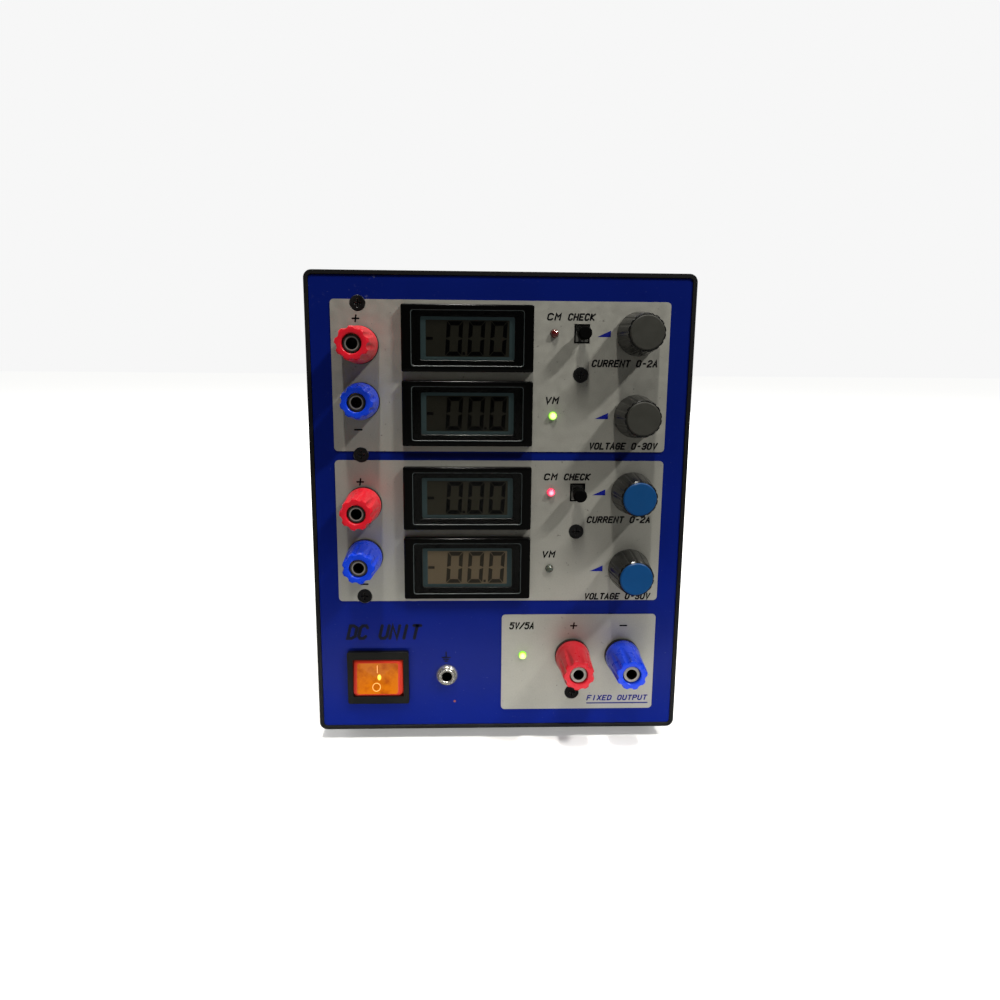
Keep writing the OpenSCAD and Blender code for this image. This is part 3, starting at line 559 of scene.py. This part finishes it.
def rect_loop(w, h, r, n):
    """Corner-rounded rectangle as 4 (n + 1) points, anticlockwise seen from the front."""
    r = min(r, w / 2 - 1e-3, h / 2 - 1e-3)
    x, y = w / 2 - r, h / 2 - r
    pts = []
    for cx, cy, start in ((x, y, 0), (-x, y, 90), (-x, -y, 180), (x, -y, 270)):
        for k in range(n + 1):
            a = math.radians(start + 90 * k / n)
            pts.append((cx + r * math.cos(a), cy + r * math.sin(a)))
    return pts


def stacked(levels, n=5, loop=False, cap=False, cap_first=False):
    """Points and faces of rounded rectangles (width, height, corner radius, out) joined one after another."""
    verts, faces = [], []
    count = 4 * (n + 1)
    for w, h, r, out in levels:
        verts += [(x, y, out) for x, y in rect_loop(w, h, r, n)]
    steps = len(levels) if loop else len(levels) - 1
    for k in range(steps):
        a, b = k * count, ((k + 1) % len(levels)) * count
        for i in range(count):
            j = (i + 1) % count
            faces.append((a + i, a + j, b + j, b + i))
    if cap:
        last = (len(levels) - 1) * count
        faces.append(tuple(last + i for i in range(count)))
    if cap_first:
        faces.append(tuple(reversed(range(count))))
    return np.array(verts), faces


def joined(parts):
    """Several (points, faces) as one."""
    verts, faces = [], []
    for v, f in parts:
        base = len(verts)
        verts += [tuple(p) for p in v]
        faces += [tuple(base + i for i in face) for face in f]
    return np.array(verts), faces


# ---------------------------------------------------------------- lettering

# Each stroke runs through cells of a 5 by 7 grid, written as column then row from the lower left.
GLYPHS = {
    "A": "00 26 40|12 32", "C": "45 36 16 05 01 10 30 41", "D": "00 06 26 45 41 20 00",
    "E": "40 00 06 46|03 33", "F": "00 06 46|03 33", "G": "45 36 16 05 01 10 30 41 43 23",
    "H": "00 06|40 46|03 43", "I": "20 26", "K": "00 06|46 03 40", "L": "06 00 40",
    "M": "00 06 23 46 40", "N": "00 06 40 46",
    "O": "10 01 05 16 36 45 41 30 10", "P": "00 06 36 45 44 33 03", "R": "00 06 36 45 44 33 03|23 40",
    "T": "20 26|06 46", "U": "06 01 10 30 41 46", "V": "06 20 46", "X": "00 46|06 40",
    "0": "10 01 05 16 36 45 41 30 10", "2": "05 16 36 45 44 01 00 40",
    "3": "05 16 36 45 44 33 13|33 42 41 30 10 01", "5": "46 06 04 34 43 41 30 10 01",
    "-": "13 33", "/": "00 46", " ": ""}


def stroke_text(text, left, base, height, pitch, lean=0.24, width=0.62):
    """Strokes in panel millimetres for a line of slanted single-stroke letters."""
    strokes, k = [], height / 6
    for i, ch in enumerate(text):
        for run in filter(None, GLYPHS[ch].split("|")):
            pts = []
            for cell in run.split():
                x, y = int(cell[0]), int(cell[1])
                pts.append((left + i * pitch + x * pitch * width / 4 + y * k * lean, base + y * k))
            strokes.append(pts)
    return strokes


def unit(vector):
    return vector / np.linalg.norm(vector)


def ribbon(points, width, low, high, closed=False):
    """A flat printed stroke: a mitred band along the points, between two heights, with round ends."""
    p = [np.array(q, float) for q in points]
    if closed:
        p = p[:-1]
    n, half = len(p), width / 2
    left, right = [], []
    for i in range(n):
        before = unit(p[i] - p[i - 1]) if (i > 0 or closed) else None
        after = unit(p[(i + 1) % n] - p[i]) if (i < n - 1 or closed) else None
        before, after = (after if before is None else before), (before if after is None else after)
        along = before + after
        along = unit(along) if np.linalg.norm(along) > 1e-3 else before
        normal = np.array([-along[1], along[0]])
        mitre = min(1 / max(float(normal @ np.array([-before[1], before[0]])), 0.35), 2.2)
        left.append(p[i] + normal * half * mitre)
        right.append(p[i] - normal * half * mitre)
    if closed:
        verts = [(x, y, z) for z in (high, low) for side in (left, right) for x, y in side]
        faces = []
        for i in range(n):
            j = (i + 1) % n
            faces += [(i, n + i, n + j, j), (2 * n + i, 2 * n + j, 3 * n + j, 3 * n + i),
                      (i, j, 2 * n + j, 2 * n + i), (n + i, 3 * n + i, 3 * n + j, n + j)]
        return np.array(verts), faces
    end_points = 4     # between the corners of a round end

    def round_end(centre, direction, start_side):
        d = unit(direction)
        side = np.array([-d[1], d[0]]) * start_side
        angles = np.linspace(0, math.pi, end_points + 2)[1:-1]
        return [centre + half * (side * math.cos(a) + d * math.sin(a)) for a in angles]

    outline = right + round_end(p[-1], p[-1] - p[-2], -1) + left[::-1] + round_end(p[0], p[0] - p[1], -1)
    m = len(outline)
    verts = [(x, y, z) for z in (high, low) for x, y in outline]
    # quads between the two sides, then one face for each round end
    right_side = list(range(n))
    left_side = [n + end_points + (n - 1 - i) for i in range(n)]
    faces = []
    for i in range(n - 1):
        a, b, c, d = right_side[i], right_side[i + 1], left_side[i + 1], left_side[i]
        faces += [(a, b, c, d), (m + b, m + a, m + d, m + c)]
    far_end = [right_side[-1]] + list(range(n, n + end_points)) + [left_side[-1]]
    near_end = [left_side[0]] + list(range(2 * n + end_points, m)) + [right_side[0]]
    for end in (far_end, near_end):
        faces.append(tuple(end))
        faces.append(tuple(m + i for i in reversed(end)))
    faces += [(i, m + i, m + (i + 1) % m, (i + 1) % m) for i in range(m)]
    return np.array(verts), faces


def printed(name, strokes, width, material, low, thick=0.03):
    """Printed strokes on the panel as one piece."""
    parts = []
    for s in strokes:
        shut = len(s) > 3 and np.allclose(s[0], s[-1])
        parts.append(ribbon(s, width, low, low + thick, closed=shut))
    v, f = joined(parts)
    return piece(name, place(v, 0, 0), f, material, angle=50)


ROWS = [joint_spot(f"knob_{k}_turn")[1] for k in range(1, 5)]
POSTS = [joint_spot(f"post_{k}_turn") for k in range(1, 7)]
SMALL = 2.15          # height of the legends' capitals
ink = []
for upper, lower in (ROWS[:2], ROWS[2:]):
    ink += stroke_text("CM", 87.6, upper + 4.9, 2.1, 2.75)
    ink += stroke_text("CHECK", 95.2, upper + 4.9, 2.1, 2.02)
    ink += stroke_text("CURRENT 0-2A", 104.4, upper - 11.7, SMALL, 2.06)
    ink += stroke_text("VM", 87.4, lower + 4.6, SMALL, 2.75)
    ink += stroke_text("VOLTAGE 0-30V", 104.3, lower - 12.35, SMALL, 2.0)
ink += stroke_text("5V/5A", 75.2, 41.9, 2.4, 1.98)


def plus(u, v, size=1.15):
    return [[(u - size, v), (u + size, v)], [(u - 0.15, v - size), (u + 0.15, v + size)]]


def minus(u, v, size=1.3):
    return [[(u - size, v), (u + size, v)]]


ink += plus(18.2, POSTS[0][1] + 9.4) + minus(18.2, POSTS[1][1] - 10.6)
ink += plus(18.4, POSTS[2][1] + 8.6) + minus(19.0, POSTS[3][1] - 11.2)
ink += plus(100.4, POSTS[4][1] + 12.2) + minus(120.1, POSTS[5][1] + 12.2)
SUNK = 0.01           # printed forms start this far inside the surface they lie on
printed("legend_lettering", ink, 0.60, M["ink"], PLATE - SUNK)
ramps = []
for v in ROWS:
    wedge = [(106.0, v - 1.1), (111.0, v - 1.1), (111.0, v + 1.2)]
    vs = [(x, y, h) for h in (PLATE + 0.02, PLATE - SUNK) for x, y in wedge]
    ramps.append((np.array(vs), [(0, 1, 2), (5, 4, 3), (0, 3, 4, 1), (1, 4, 5, 2), (2, 5, 3, 0)]))
vs, fs = joined(ramps)
piece("legend_ramps", place(vs, 0, 0), fs, M["ink_blue"], angle=50)
title = stroke_text("DC UNIT", 11.9, 38.1, 5.2, 4.1, width=0.66)
printed("panel_title", title, 1.28, M["ink_dark"], -SUNK)
note_left, note_right = 106.6, 131.0
fixed_note = stroke_text("FIXED OUTPUT", note_left, 11.6, 1.9, 2.05)
fixed_note.append([(note_left, 10.3), (note_right, 10.3)])
printed("fixed_output_note", fixed_note, 0.50, M["ink_blue"], PLATE - SUNK)
earth_u, earth_v = 50.3, 30.0
earth = [[(earth_u, earth_v + 2.2), (earth_u, earth_v)]]
for drop, reach in ((0, 1.6), (0.8, 1.0), (1.6, 0.45)):
    earth.append([(earth_u - reach, earth_v - drop), (earth_u + reach, earth_v - drop)])
printed("earth_mark", earth, 0.56, M["ink_dark"], -SUNK)

# ---------------------------------------------------------------- panel meters

METER_U = 58.6         # panel places of the meters' middles
METER_ROWS = [153.3, 126.1, 94.3, 67.1]
# (width, height, corner radius, out) round the bezel's section, from its back over its face to its window
BEZEL = [(45, 22.2, 0.4, -19.8), (45, 22.2, 0.4, 0.32), (48, 24, 0.6, 0.34), (48, 24, 0.6, 2.35),
         (47.85, 23.85, 0.6, 2.62), (47.5, 23.5, 0.55, 2.82), (47.0, 23.0, 0.5, 2.9), (41.0, 20.0, 0.9, 2.9),
         (40.75, 19.75, 0.9, 2.86), (40.5, 19.5, 0.85, 2.7), (40.42, 19.42, 0.85, 1.92),
         (40.2, 19.2, 0.8, 1.9), (35.2, 16.4, 0.7, 1.9), (34.8, 16.0, 0.65, 1.86), (34.3, 15.5, 0.6, 1.6),
         (34.3, 15.5, 0.6, 0.93), (42.6, 19.8, 0.4, 0.9), (42.6, 19.8, 0.4, -19.8)]
BEZEL_CORNER = 4       # steps round each corner
# the lighter tint on these levels is wear and a painted highlight
HIGHLIGHT_RIM_LEVELS = (7, 9)    # the worn edge of the window opening
CELL = [(42, 18.6, 0.3, -1.9), (42, 18.6, 0.3, 0.75), (41.8, 18.4, 0.3, 0.85)]
RING = [(34.2, 15.4, 0.6, 0.86), (34.2, 15.4, 0.6, 1.0), (30.8, 13.5, 0.35, 1.0), (30.4, 13.1, 0.3, 0.94),
        (30.4, 13.1, 0.3, 0.86)]
PIN_ROW = 8.6          # rows of pins above and below the cell's middle
PIN_PITCH = 2.54
DIGIT_W, DIGIT_H, DIGIT_PITCH = 5.9, 12.3, 8.05
SEGMENTS = {  # corners of each bar in a unit digit 1 wide and 2 high
    "a": [(0.05, 2.0), (0.95, 2.0), (0.75, 1.76), (0.25, 1.76)],
    "b": [(0.76, 1.12), (0.76, 1.73), (1.0, 1.97), (1.0, 1.03)],
    "c": [(0.76, 0.27), (0.76, 0.88), (1.0, 0.97), (1.0, 0.03)],
    "d": [(0.25, 0.24), (0.75, 0.24), (0.95, 0.0), (0.05, 0.0)],
    "e": [(0.0, 0.03), (0.0, 0.97), (0.24, 0.88), (0.24, 0.27)],
    "f": [(0.0, 1.03), (0.0, 1.97), (0.24, 1.73), (0.24, 1.12)]}


def bar(corners, low, high):
    """A flat polygon with thickness; corners in panel order."""
    area = sum(a[0] * b[1] - b[0] * a[1] for a, b in zip(corners, corners[1:] + corners[:1]))
    c = corners if area > 0 else corners[::-1]
    n = len(c)
    verts = [(x, y, high) for x, y in c] + [(x, y, low) for x, y in c]
    faces = [tuple(range(n)), tuple(reversed(range(n, 2 * n)))]
    faces += [(i, n + i, n + (i + 1) % n, (i + 1) % n) for i in range(n)]
    return np.array(verts), faces


def digit(left, base, lean=0.06):
    """The bars of a zero, which is all that the displays show."""
    k = DIGIT_H / 2
    return [[(left + x * DIGIT_W + lean * y * k, base + y * k) for x, y in SEGMENTS[b]] for b in "abcdef"]


def wire_pin(x, y, back, front):
    """A thin square pin from back to front, at a place on its part's face."""
    vs, fs = stacked([(0.5, 0.5, 0.05, back), (0.5, 0.5, 0.05, front)], n=1, cap=True, cap_first=True)
    return vs + np.array([x, y, 0]), fs


for m, v in enumerate(METER_ROWS):
    num = m + 1
    first = m == 0         # the first meter's pieces stand for the nodes that hold all four
    vs, fs = stacked(BEZEL, n=BEZEL_CORNER, loop=True)
    bezel = piece(f"meter_bezel_{num}", place(vs, METER_U, v), fs, M["gloss"],
                  replaces=["meter_bezels"] if first else ())
    # the chamfer levels take the lighter finish: wear and a painted highlight
    bezel.data.materials.append(M["rim"])
    faces_a_level = 4 * (BEZEL_CORNER + 1)
    for i in range(HIGHLIGHT_RIM_LEVELS[0] * faces_a_level, HIGHLIGHT_RIM_LEVELS[1] * faces_a_level):
        bezel.data.polygons[i].material_index = 1
    pins = [wire_pin(x, y, -7.9, -1.95) for y in (-PIN_ROW, PIN_ROW) for x in np.arange(-7, 7.5) * PIN_PITCH]
    vs, fs = joined([stacked(CELL, n=2, cap=True, cap_first=True)] + pins)
    piece(f"meter_cell_{num}", place(vs, METER_U, v), fs, M[f"lcd_{num}"],
          replaces=["meter_lcds"] if first else ())
    vs, fs = stacked(RING, n=4, loop=True)
    piece(f"meter_ring_{num}", place(vs, METER_U, v), fs, M["lcd_ring"])
    bars = []
    for d in range(3):
        bars += digit(-8.2 + d * DIGIT_PITCH, -DIGIT_H / 2)
    bars.append([(-15.0, -0.5), (-12.6, -0.5), (-12.6, 0.5), (-15.0, 0.5)])
    dot = -1.4 if m % 2 == 0 else 6.65
    bars.append([(dot - 0.45, -5.85), (dot + 0.45, -5.85), (dot + 0.45, -4.9), (dot - 0.45, -4.9)])
    vs, fs = joined([bar(b, 0.87, 0.93) for b in bars])
    # the lowest meter's paler digits are painted light
    shade = M["lcd_segment_painted_pale" if num == 4 else "lcd_segment"]
    piece(f"meter_digits_{num}", place(vs, METER_U, v), fs, shade, angle=50)

# ---------------------------------------------------------------- indicator lamps

LED_U = 90.3
LAMPS = [("lamp_cm_1", LED_U, ROWS[0], "red", False), ("lamp_vm_1", LED_U, ROWS[1], "green", True),
         ("lamp_cm_2", LED_U, ROWS[2], "red", True), ("lamp_vm_2", LED_U, ROWS[3], "green", False),
         ("lamp_fixed", 80.4, 30.9, "green", True)]
LED_R = 1.5
LED_DOME = [(LED_R * math.cos(a), 0.5 + LED_R * math.sin(a)) for a in np.radians([15, 30, 45, 58, 70, 80])]
LED_STEM = rounded([(0, -6), (1.9, -6), (1.9, -5), (LED_R, -5), (LED_R, 0.5)], 0.08, 2)
LED_PROFILE = LED_STEM + LED_DOME + [(0, 2.0)]
LEG_U = 0.8            # each leg stands this far to the side of the lamp's axis


def lamp_lens(name, kind, lit, top):
    """The lens of a lamp whose bright core lies at top."""
    if kind == "red" and lit:
        return glow("lamp_red_lit", (1.0, 0.035, 0.10), 0.9, core=(1.0, 0.42, 0.5), core_strength=1.9,
                    center=top, radius=1.3)
    if kind == "red":
        return plastic("lamp_red_dark", (0.085, 0.003, 0.003), rough=0.08, coat=1.0, depth=0.02, soft=0,
                       spec=0.6)
    if lit:
        return glow(name + "_lit", (0.22, 0.75, 0.01), 0.85, core=(0.88, 1.0, 0.38), core_strength=1.9,
                    center=top, radius=1.75)
    return plastic("lamp_green_dark", (0.06, 0.07, 0.055), rough=0.2, coat=0.5, soft=0, sss=0.4)


for name, u, v, kind, lit in LAMPS:
    legs = [wire_pin(x, 0, -13.9, -5.95) for x in (-LEG_U, LEG_U)]
    vs, fs = joined([turned(LED_PROFILE, 48)] + legs)
    nodes = {"lamp_cm_1": ["red_leds"], "lamp_vm_1": ["green_leds"]}.get(name, ())
    piece(name, place(vs, u, v), fs, lamp_lens(name, kind, lit, on_front(u, v, 1.6)), replaces=nodes)

# ---------------------------------------------------------------- binding post caps

COLLAR_TOP = 1.75      # the caps' foot above the panel
FOOT_TOP = 3.9         # the flutes start here, above the foot
FOOT_R, NOSE_R = 6.45, 5.85
FLUTES, FLUTE_R = 9, 1.5
NECK_R, INSERT_R = 3.40, 4.35
INSERT_BACK = 2.5
CAP_TURN = 23          # degrees from each cap to the next


def fluted(count, groove_r, centre_at, soft=0.12):
    """Radius law: the plain radius cut by round grooves centred at centre_at(out), with blended edges."""
    def law(r, out, ang):
        d = centre_at(out)
        phi = (ang * count / (2 * math.pi) + 0.5) % 1.0 - 0.5
        phi = phi * 2 * math.pi / count
        inside = np.maximum(groove_r ** 2 - (d * np.sin(phi)) ** 2, 0)
        cut = d * np.cos(phi) - np.sqrt(inside)
        cut = np.where(inside > 0, cut, 1e3)
        h = np.clip(0.5 + 0.5 * (cut - r) / soft, 0, 1)
        return cut * (1 - h) + r * h - soft * h * (1 - h)
    return law


def post_cap(k):
    lo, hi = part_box(f"post_cap_{k}")
    length = (hi.y - lo.y) / MM
    rise = max(length - FOOT_TOP, 1)

    def centre_at(out):
        """Distance of the flutes' centres from the axis; they come nearer towards the nose."""
        return FLUTE_R + 6.75 - 1.75 * min((out - FOOT_TOP) / rise, 1.0) ** 0.7

    law = fluted(FLUTES, FLUTE_R, centre_at)

    def shape(r, out, ang):
        return law(r, out, ang) if r > 5.0 and out > FOOT_TOP else np.full(len(ang), r)

    prof = rounded([(3.3, 0), (6.45, 0), (6.7, 0.3), (6.72, 2.4), (FOOT_R, FOOT_TOP)], [0.15, 0.15, 0.4], 3)
    for s in np.linspace(0.06, 1, 12):
        prof.append((FOOT_R + (NOSE_R - FOOT_R) * s, FOOT_TOP + (length - 0.45 - FOOT_TOP) * s))
    lip = [(5.72, 0.22), (5.5, 0.07), (5.2, 0), (4.7, 0), (3.75, 0), (3.55, 0.06), (3.42, 0.2), (NECK_R, 0.5)]
    prof += [(r, length - drop) for r, drop in lip]
    seat = min(11, length - 4)
    prof += [(NECK_R, seat), (INSERT_R, seat), (INSERT_R, INSERT_BACK), (3.3, INSERT_BACK)]
    vs, fs = turned(prof, 180, shape, loop=True)
    a = math.radians(CAP_TURN * k + 8)
    x, y, z = vs[:, 0], vs[:, 1], vs[:, 2]
    vs = np.column_stack([x * math.cos(a) - y * math.sin(a), x * math.sin(a) + y * math.cos(a), z])
    slot = "post_red" if k % 2 == 1 else "post_blue"
    # the fixed posts take the darker copies: painted shade
    material = M[slot + "_painted_shade" if k > 4 else slot]
    u, v = POSTS[k - 1]
    piece(f"binding_cap_{k}", place(vs, u, v, COLLAR_TOP), fs, material, body=f"post_{k}_cap_body",
          replaces=[f"post_cap_{k}"])


for k in range(1, 7):
    post_cap(k)

# ---------------------------------------------------------------- earth socket

EARTH_BACK = -14
EARTH_FLOOR = -9.5
# (radius, out): barrel, flange, dark groove, contact ring, bore
EARTH_PROFILE = [(0, EARTH_BACK), (2.95, EARTH_BACK), (2.95, -0.02), (4.2, -0.02), (4.2, 0.75), (4.1, 1.0),
                 (3.72, 1.72), (3.62, 1.8), (3.5, 1.72), (3.44, 1.2), (3.32, 1.2), (3.28, 2.2), (3.2, 2.4),
                 (3.1, 2.48), (2.5, 2.5), (2.3, 2.42), (2.02, 2.1), (2.0, 1.2), (2.0, -9.0), (0, EARTH_FLOOR)]
earth_lo, earth_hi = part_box("earth_socket")
earth_mid = (earth_lo + earth_hi) / 2
vs, fs = turned(EARTH_PROFILE, 96)
earth_piece = piece("earth_sleeve", place(vs, earth_mid.x / MM + HALF_W, earth_mid.z / MM - FLOOR_Z), fs,
                    M["earth_nickel"], replaces=["earth_socket"])
# the hole's faces take the dark finish as painted shade
earth_piece.data.materials.append(M["bore"])
for i, face in enumerate(fs):
    if all(math.hypot(vs[k][0], vs[k][1]) < BORE_R and vs[k][2] > EARTH_FLOOR - 0.5 for k in face):
        earth_piece.data.polygons[i].material_index = 1

# ---------------------------------------------------------------- mains rocker

ROCKER_U, ROCKER_V = joint_spot("rocker_tilt")
PIVOT_OUT = -0.6
TILT = math.radians(-10)
WING = math.radians(8)      # each half of the face rises this much from the middle
FACE_W, FACE_H, FACE_OUT = 15.7, 11.8, 3.62


def face_rise(up):
    return (math.sqrt(up * up + 0.25) - 0.5) * math.tan(WING)


def rocker_points(local):
    p = np.array(local, float)
    p[:, 2] += [face_rise(y) if z > 2.9 else 0 for _, y, z in p]
    return place(p, ROCKER_U, ROCKER_V, 0, TILT, PIVOT_OUT)


levels = [(19.2, 13.5, 0.4, -3.0), (19.3, 14.6, 0.8, -1.6), (19.3, 14.86, 1.2, 0.0), (19.3, 14.7, 1.5, 1.2),
          (19.2, 14.3, 1.6, 2.3), (18.8, 13.8, 1.5, 2.75), (16.6, 12.5, 1.0, 3.45), (15.9, 11.9, 0.9, 3.58),
          (FACE_W, FACE_H, 0.8, FACE_OUT)]
levels += [(FACE_W * s, FACE_H * s, 0.8 * s, FACE_OUT) for s in (0.85, 0.7, 0.55, 0.4, 0.25, 0.1, 0.02)]
vs, fs = stacked(levels, n=4, cap=True, cap_first=True)
lamp_at = rocker_points([(0.6, 0.3, 3.6)])[0]
amber = glow("rocker_amber", (0.385, 0.098, 0.002), 0.04, core=(0.80, 1.0, 0.10), core_strength=2.0,
             center=lamp_at, radius=1.5, squash=1.6, blotch=(0.22, 0.033, 0.001), rough=0.25, coat=0.05,
             spec=0.12)
rocker_lens = piece("rocker_lens", rocker_points(vs), fs, amber, body="rocker_body", replaces=["rocker"])
rocker_lens.data.materials.append(glow("rocker_bevel", (0.34, 0.022, 0.010), 0.32, rough=0.2, spec=0.3))
FACE_EDGE = 3.5             # faces that reach below this are the red bevel and sides
for i, face in enumerate(fs):
    if min(vs[k][2] for k in face) < FACE_EDGE:
        rocker_lens.data.polygons[i].material_index = 1
ring_r = 1.5
around = np.linspace(0, 2 * math.pi, 25)
on_mark = [(-0.15, 2.1), (-0.15, 5.0)]
off_mark = [(-0.4 + ring_r * math.cos(a), -3.4 + ring_r * math.sin(a)) for a in around]
vs, fs = joined([ribbon(on_mark, 0.26, 3.60, 3.66), ribbon(off_mark, 0.26, 3.60, 3.66, closed=True)])
cream = glow("rocker_marks", (1.0, 0.40, 0.11), 0.20, coat=0, spec=0.1)
piece("rocker_marks", rocker_points(vs), fs, cream, body="rocker_body", angle=50)

# ---------------------------------------------------------------- floor, light, camera

FLOOR_TONE = 0.86
SKY = 0.93                  # what the camera sees above the floor
FLOOR_REACH_M = 12.0        # half the side of the floor
FADE_FROM_M, FADE_TO_M = 0.5, 2.6


def studio_floor():
    """Pale to the camera, darker in bounced light and reflections; fades into the sky far away."""
    pale = (FLOOR_TONE, FLOOR_TONE, FLOOR_TONE - 0.01)
    s = Shader("studio_floor", pale, rough=0.7, spec=0.1)
    seen = s.node("ShaderNodeLightPath").outputs["Is Camera Ray"]
    s.link(s.mix(seen, (0.09, 0.09, 0.088, 1), (*pale, 1)), s.bsdf.inputs["Base Color"])
    lit = s.grey(s.vector("LENGTH", s.coords()), FADE_FROM_M, FADE_TO_M, 0.28, SKY / FLOOR_TONE)
    s.link(s.calc("MULTIPLY", lit, seen), s.bsdf.inputs["Emission Strength"])
    s.set("Emission Color", (*pale, 1))
    s.bump(s.noise(300, 2), 0.02, 0.0002)
    return s.mat


floor_mesh = bpy.data.meshes.new("floor")
corners = [(x * FLOOR_REACH_M, y * FLOOR_REACH_M, 0) for x, y in ((-1, -1), (1, -1), (1, 1), (-1, 1))]
floor_mesh.from_pydata(corners, [], [(0, 1, 2, 3)])
floor_mesh.materials.append(studio_floor())
floor = bpy.data.objects.new("floor", floor_mesh)
scene.collection.objects.link(floor)

world = bpy.data.worlds.new("studio")
scene.world = world
world.use_nodes = True
sky = world.node_tree
path = sky.nodes.new("ShaderNodeLightPath")
power = sky.nodes.new("ShaderNodeMapRange")
power.inputs["To Min"].default_value = 0.035    # fill light
power.inputs["To Max"].default_value = SKY
sky.links.new(path.outputs["Is Camera Ray"], power.inputs["Value"])
sky.links.new(power.outputs["Result"], sky.nodes["Background"].inputs["Strength"])
sky.nodes["Background"].inputs["Color"].default_value = (1, 1, 1, 1)


def panel_light(name, location_m, target_m, size_m, energy, color=(1, 1, 1)):
    """A soft rectangular light that faces target_m."""
    data = bpy.data.lights.new(name, "AREA")
    data.shape = "RECTANGLE"
    data.size, data.size_y = size_m
    data.energy = energy
    data.color = color
    ob = bpy.data.objects.new(name, data)
    scene.collection.objects.link(ob)
    ob.location = location_m
    ob.rotation_euler = (Vector(target_m) - Vector(location_m)).to_track_quat("-Z", "Y").to_euler()
    ob.visible_camera = False
    return ob


FACE_Y_M = FACE_Y * MM
face_middle = (0.0, FACE_Y_M, 0.115)
panel_light("lamp_overhead", (-0.05, -0.83, 1.98), face_middle, (0.07, 0.26), 30, (1.0, 0.97, 0.91))
panel_light("lamp_right", (1.18, -0.88, 1.52), face_middle, (0.26, 0.07), 30, (1.0, 0.98, 0.94))
low = panel_light("bounce_low", (0.0, FACE_Y_M - 0.055, 0.004), (0.0, FACE_Y_M, 0.022), (0.30, 0.02), 0.19,
                  (1.0, 0.98, 0.95))
low.visible_glossy = False
centre = (0.0, 0.0, 0.11)
panel_light("fill_rear", (0.7, 1.6, 0.9), centre, (1.2, 0.8), 34)
panel_light("fill_left", (-1.7, 0.55, 0.9), centre, (0.9, 0.7), 16)
panel_light("fill_top", (-0.2, 0.75, 1.7), centre, (0.8, 0.5), 10)

# a close view from the front with a wide lens, looking slightly down, as in the photograph
cam_data = bpy.data.cameras.new("camera")
camera = bpy.data.objects.new("camera", cam_data)
scene.collection.objects.link(camera)
cam_data.sensor_width = 36
cam_data.lens = 23.872
cam_data.shift_x = 0.00701
cam_data.shift_y = -0.02223
cam_data.clip_start = 0.01
camera.location = (-0.010865, FACE_Y_M - 0.246862, 0.148310)
camera.rotation_euler = [math.radians(a) for a in (80.4884, -0.4318, -1.8050)]
scene.camera = camera
scene.view_settings.view_transform = "Standard"
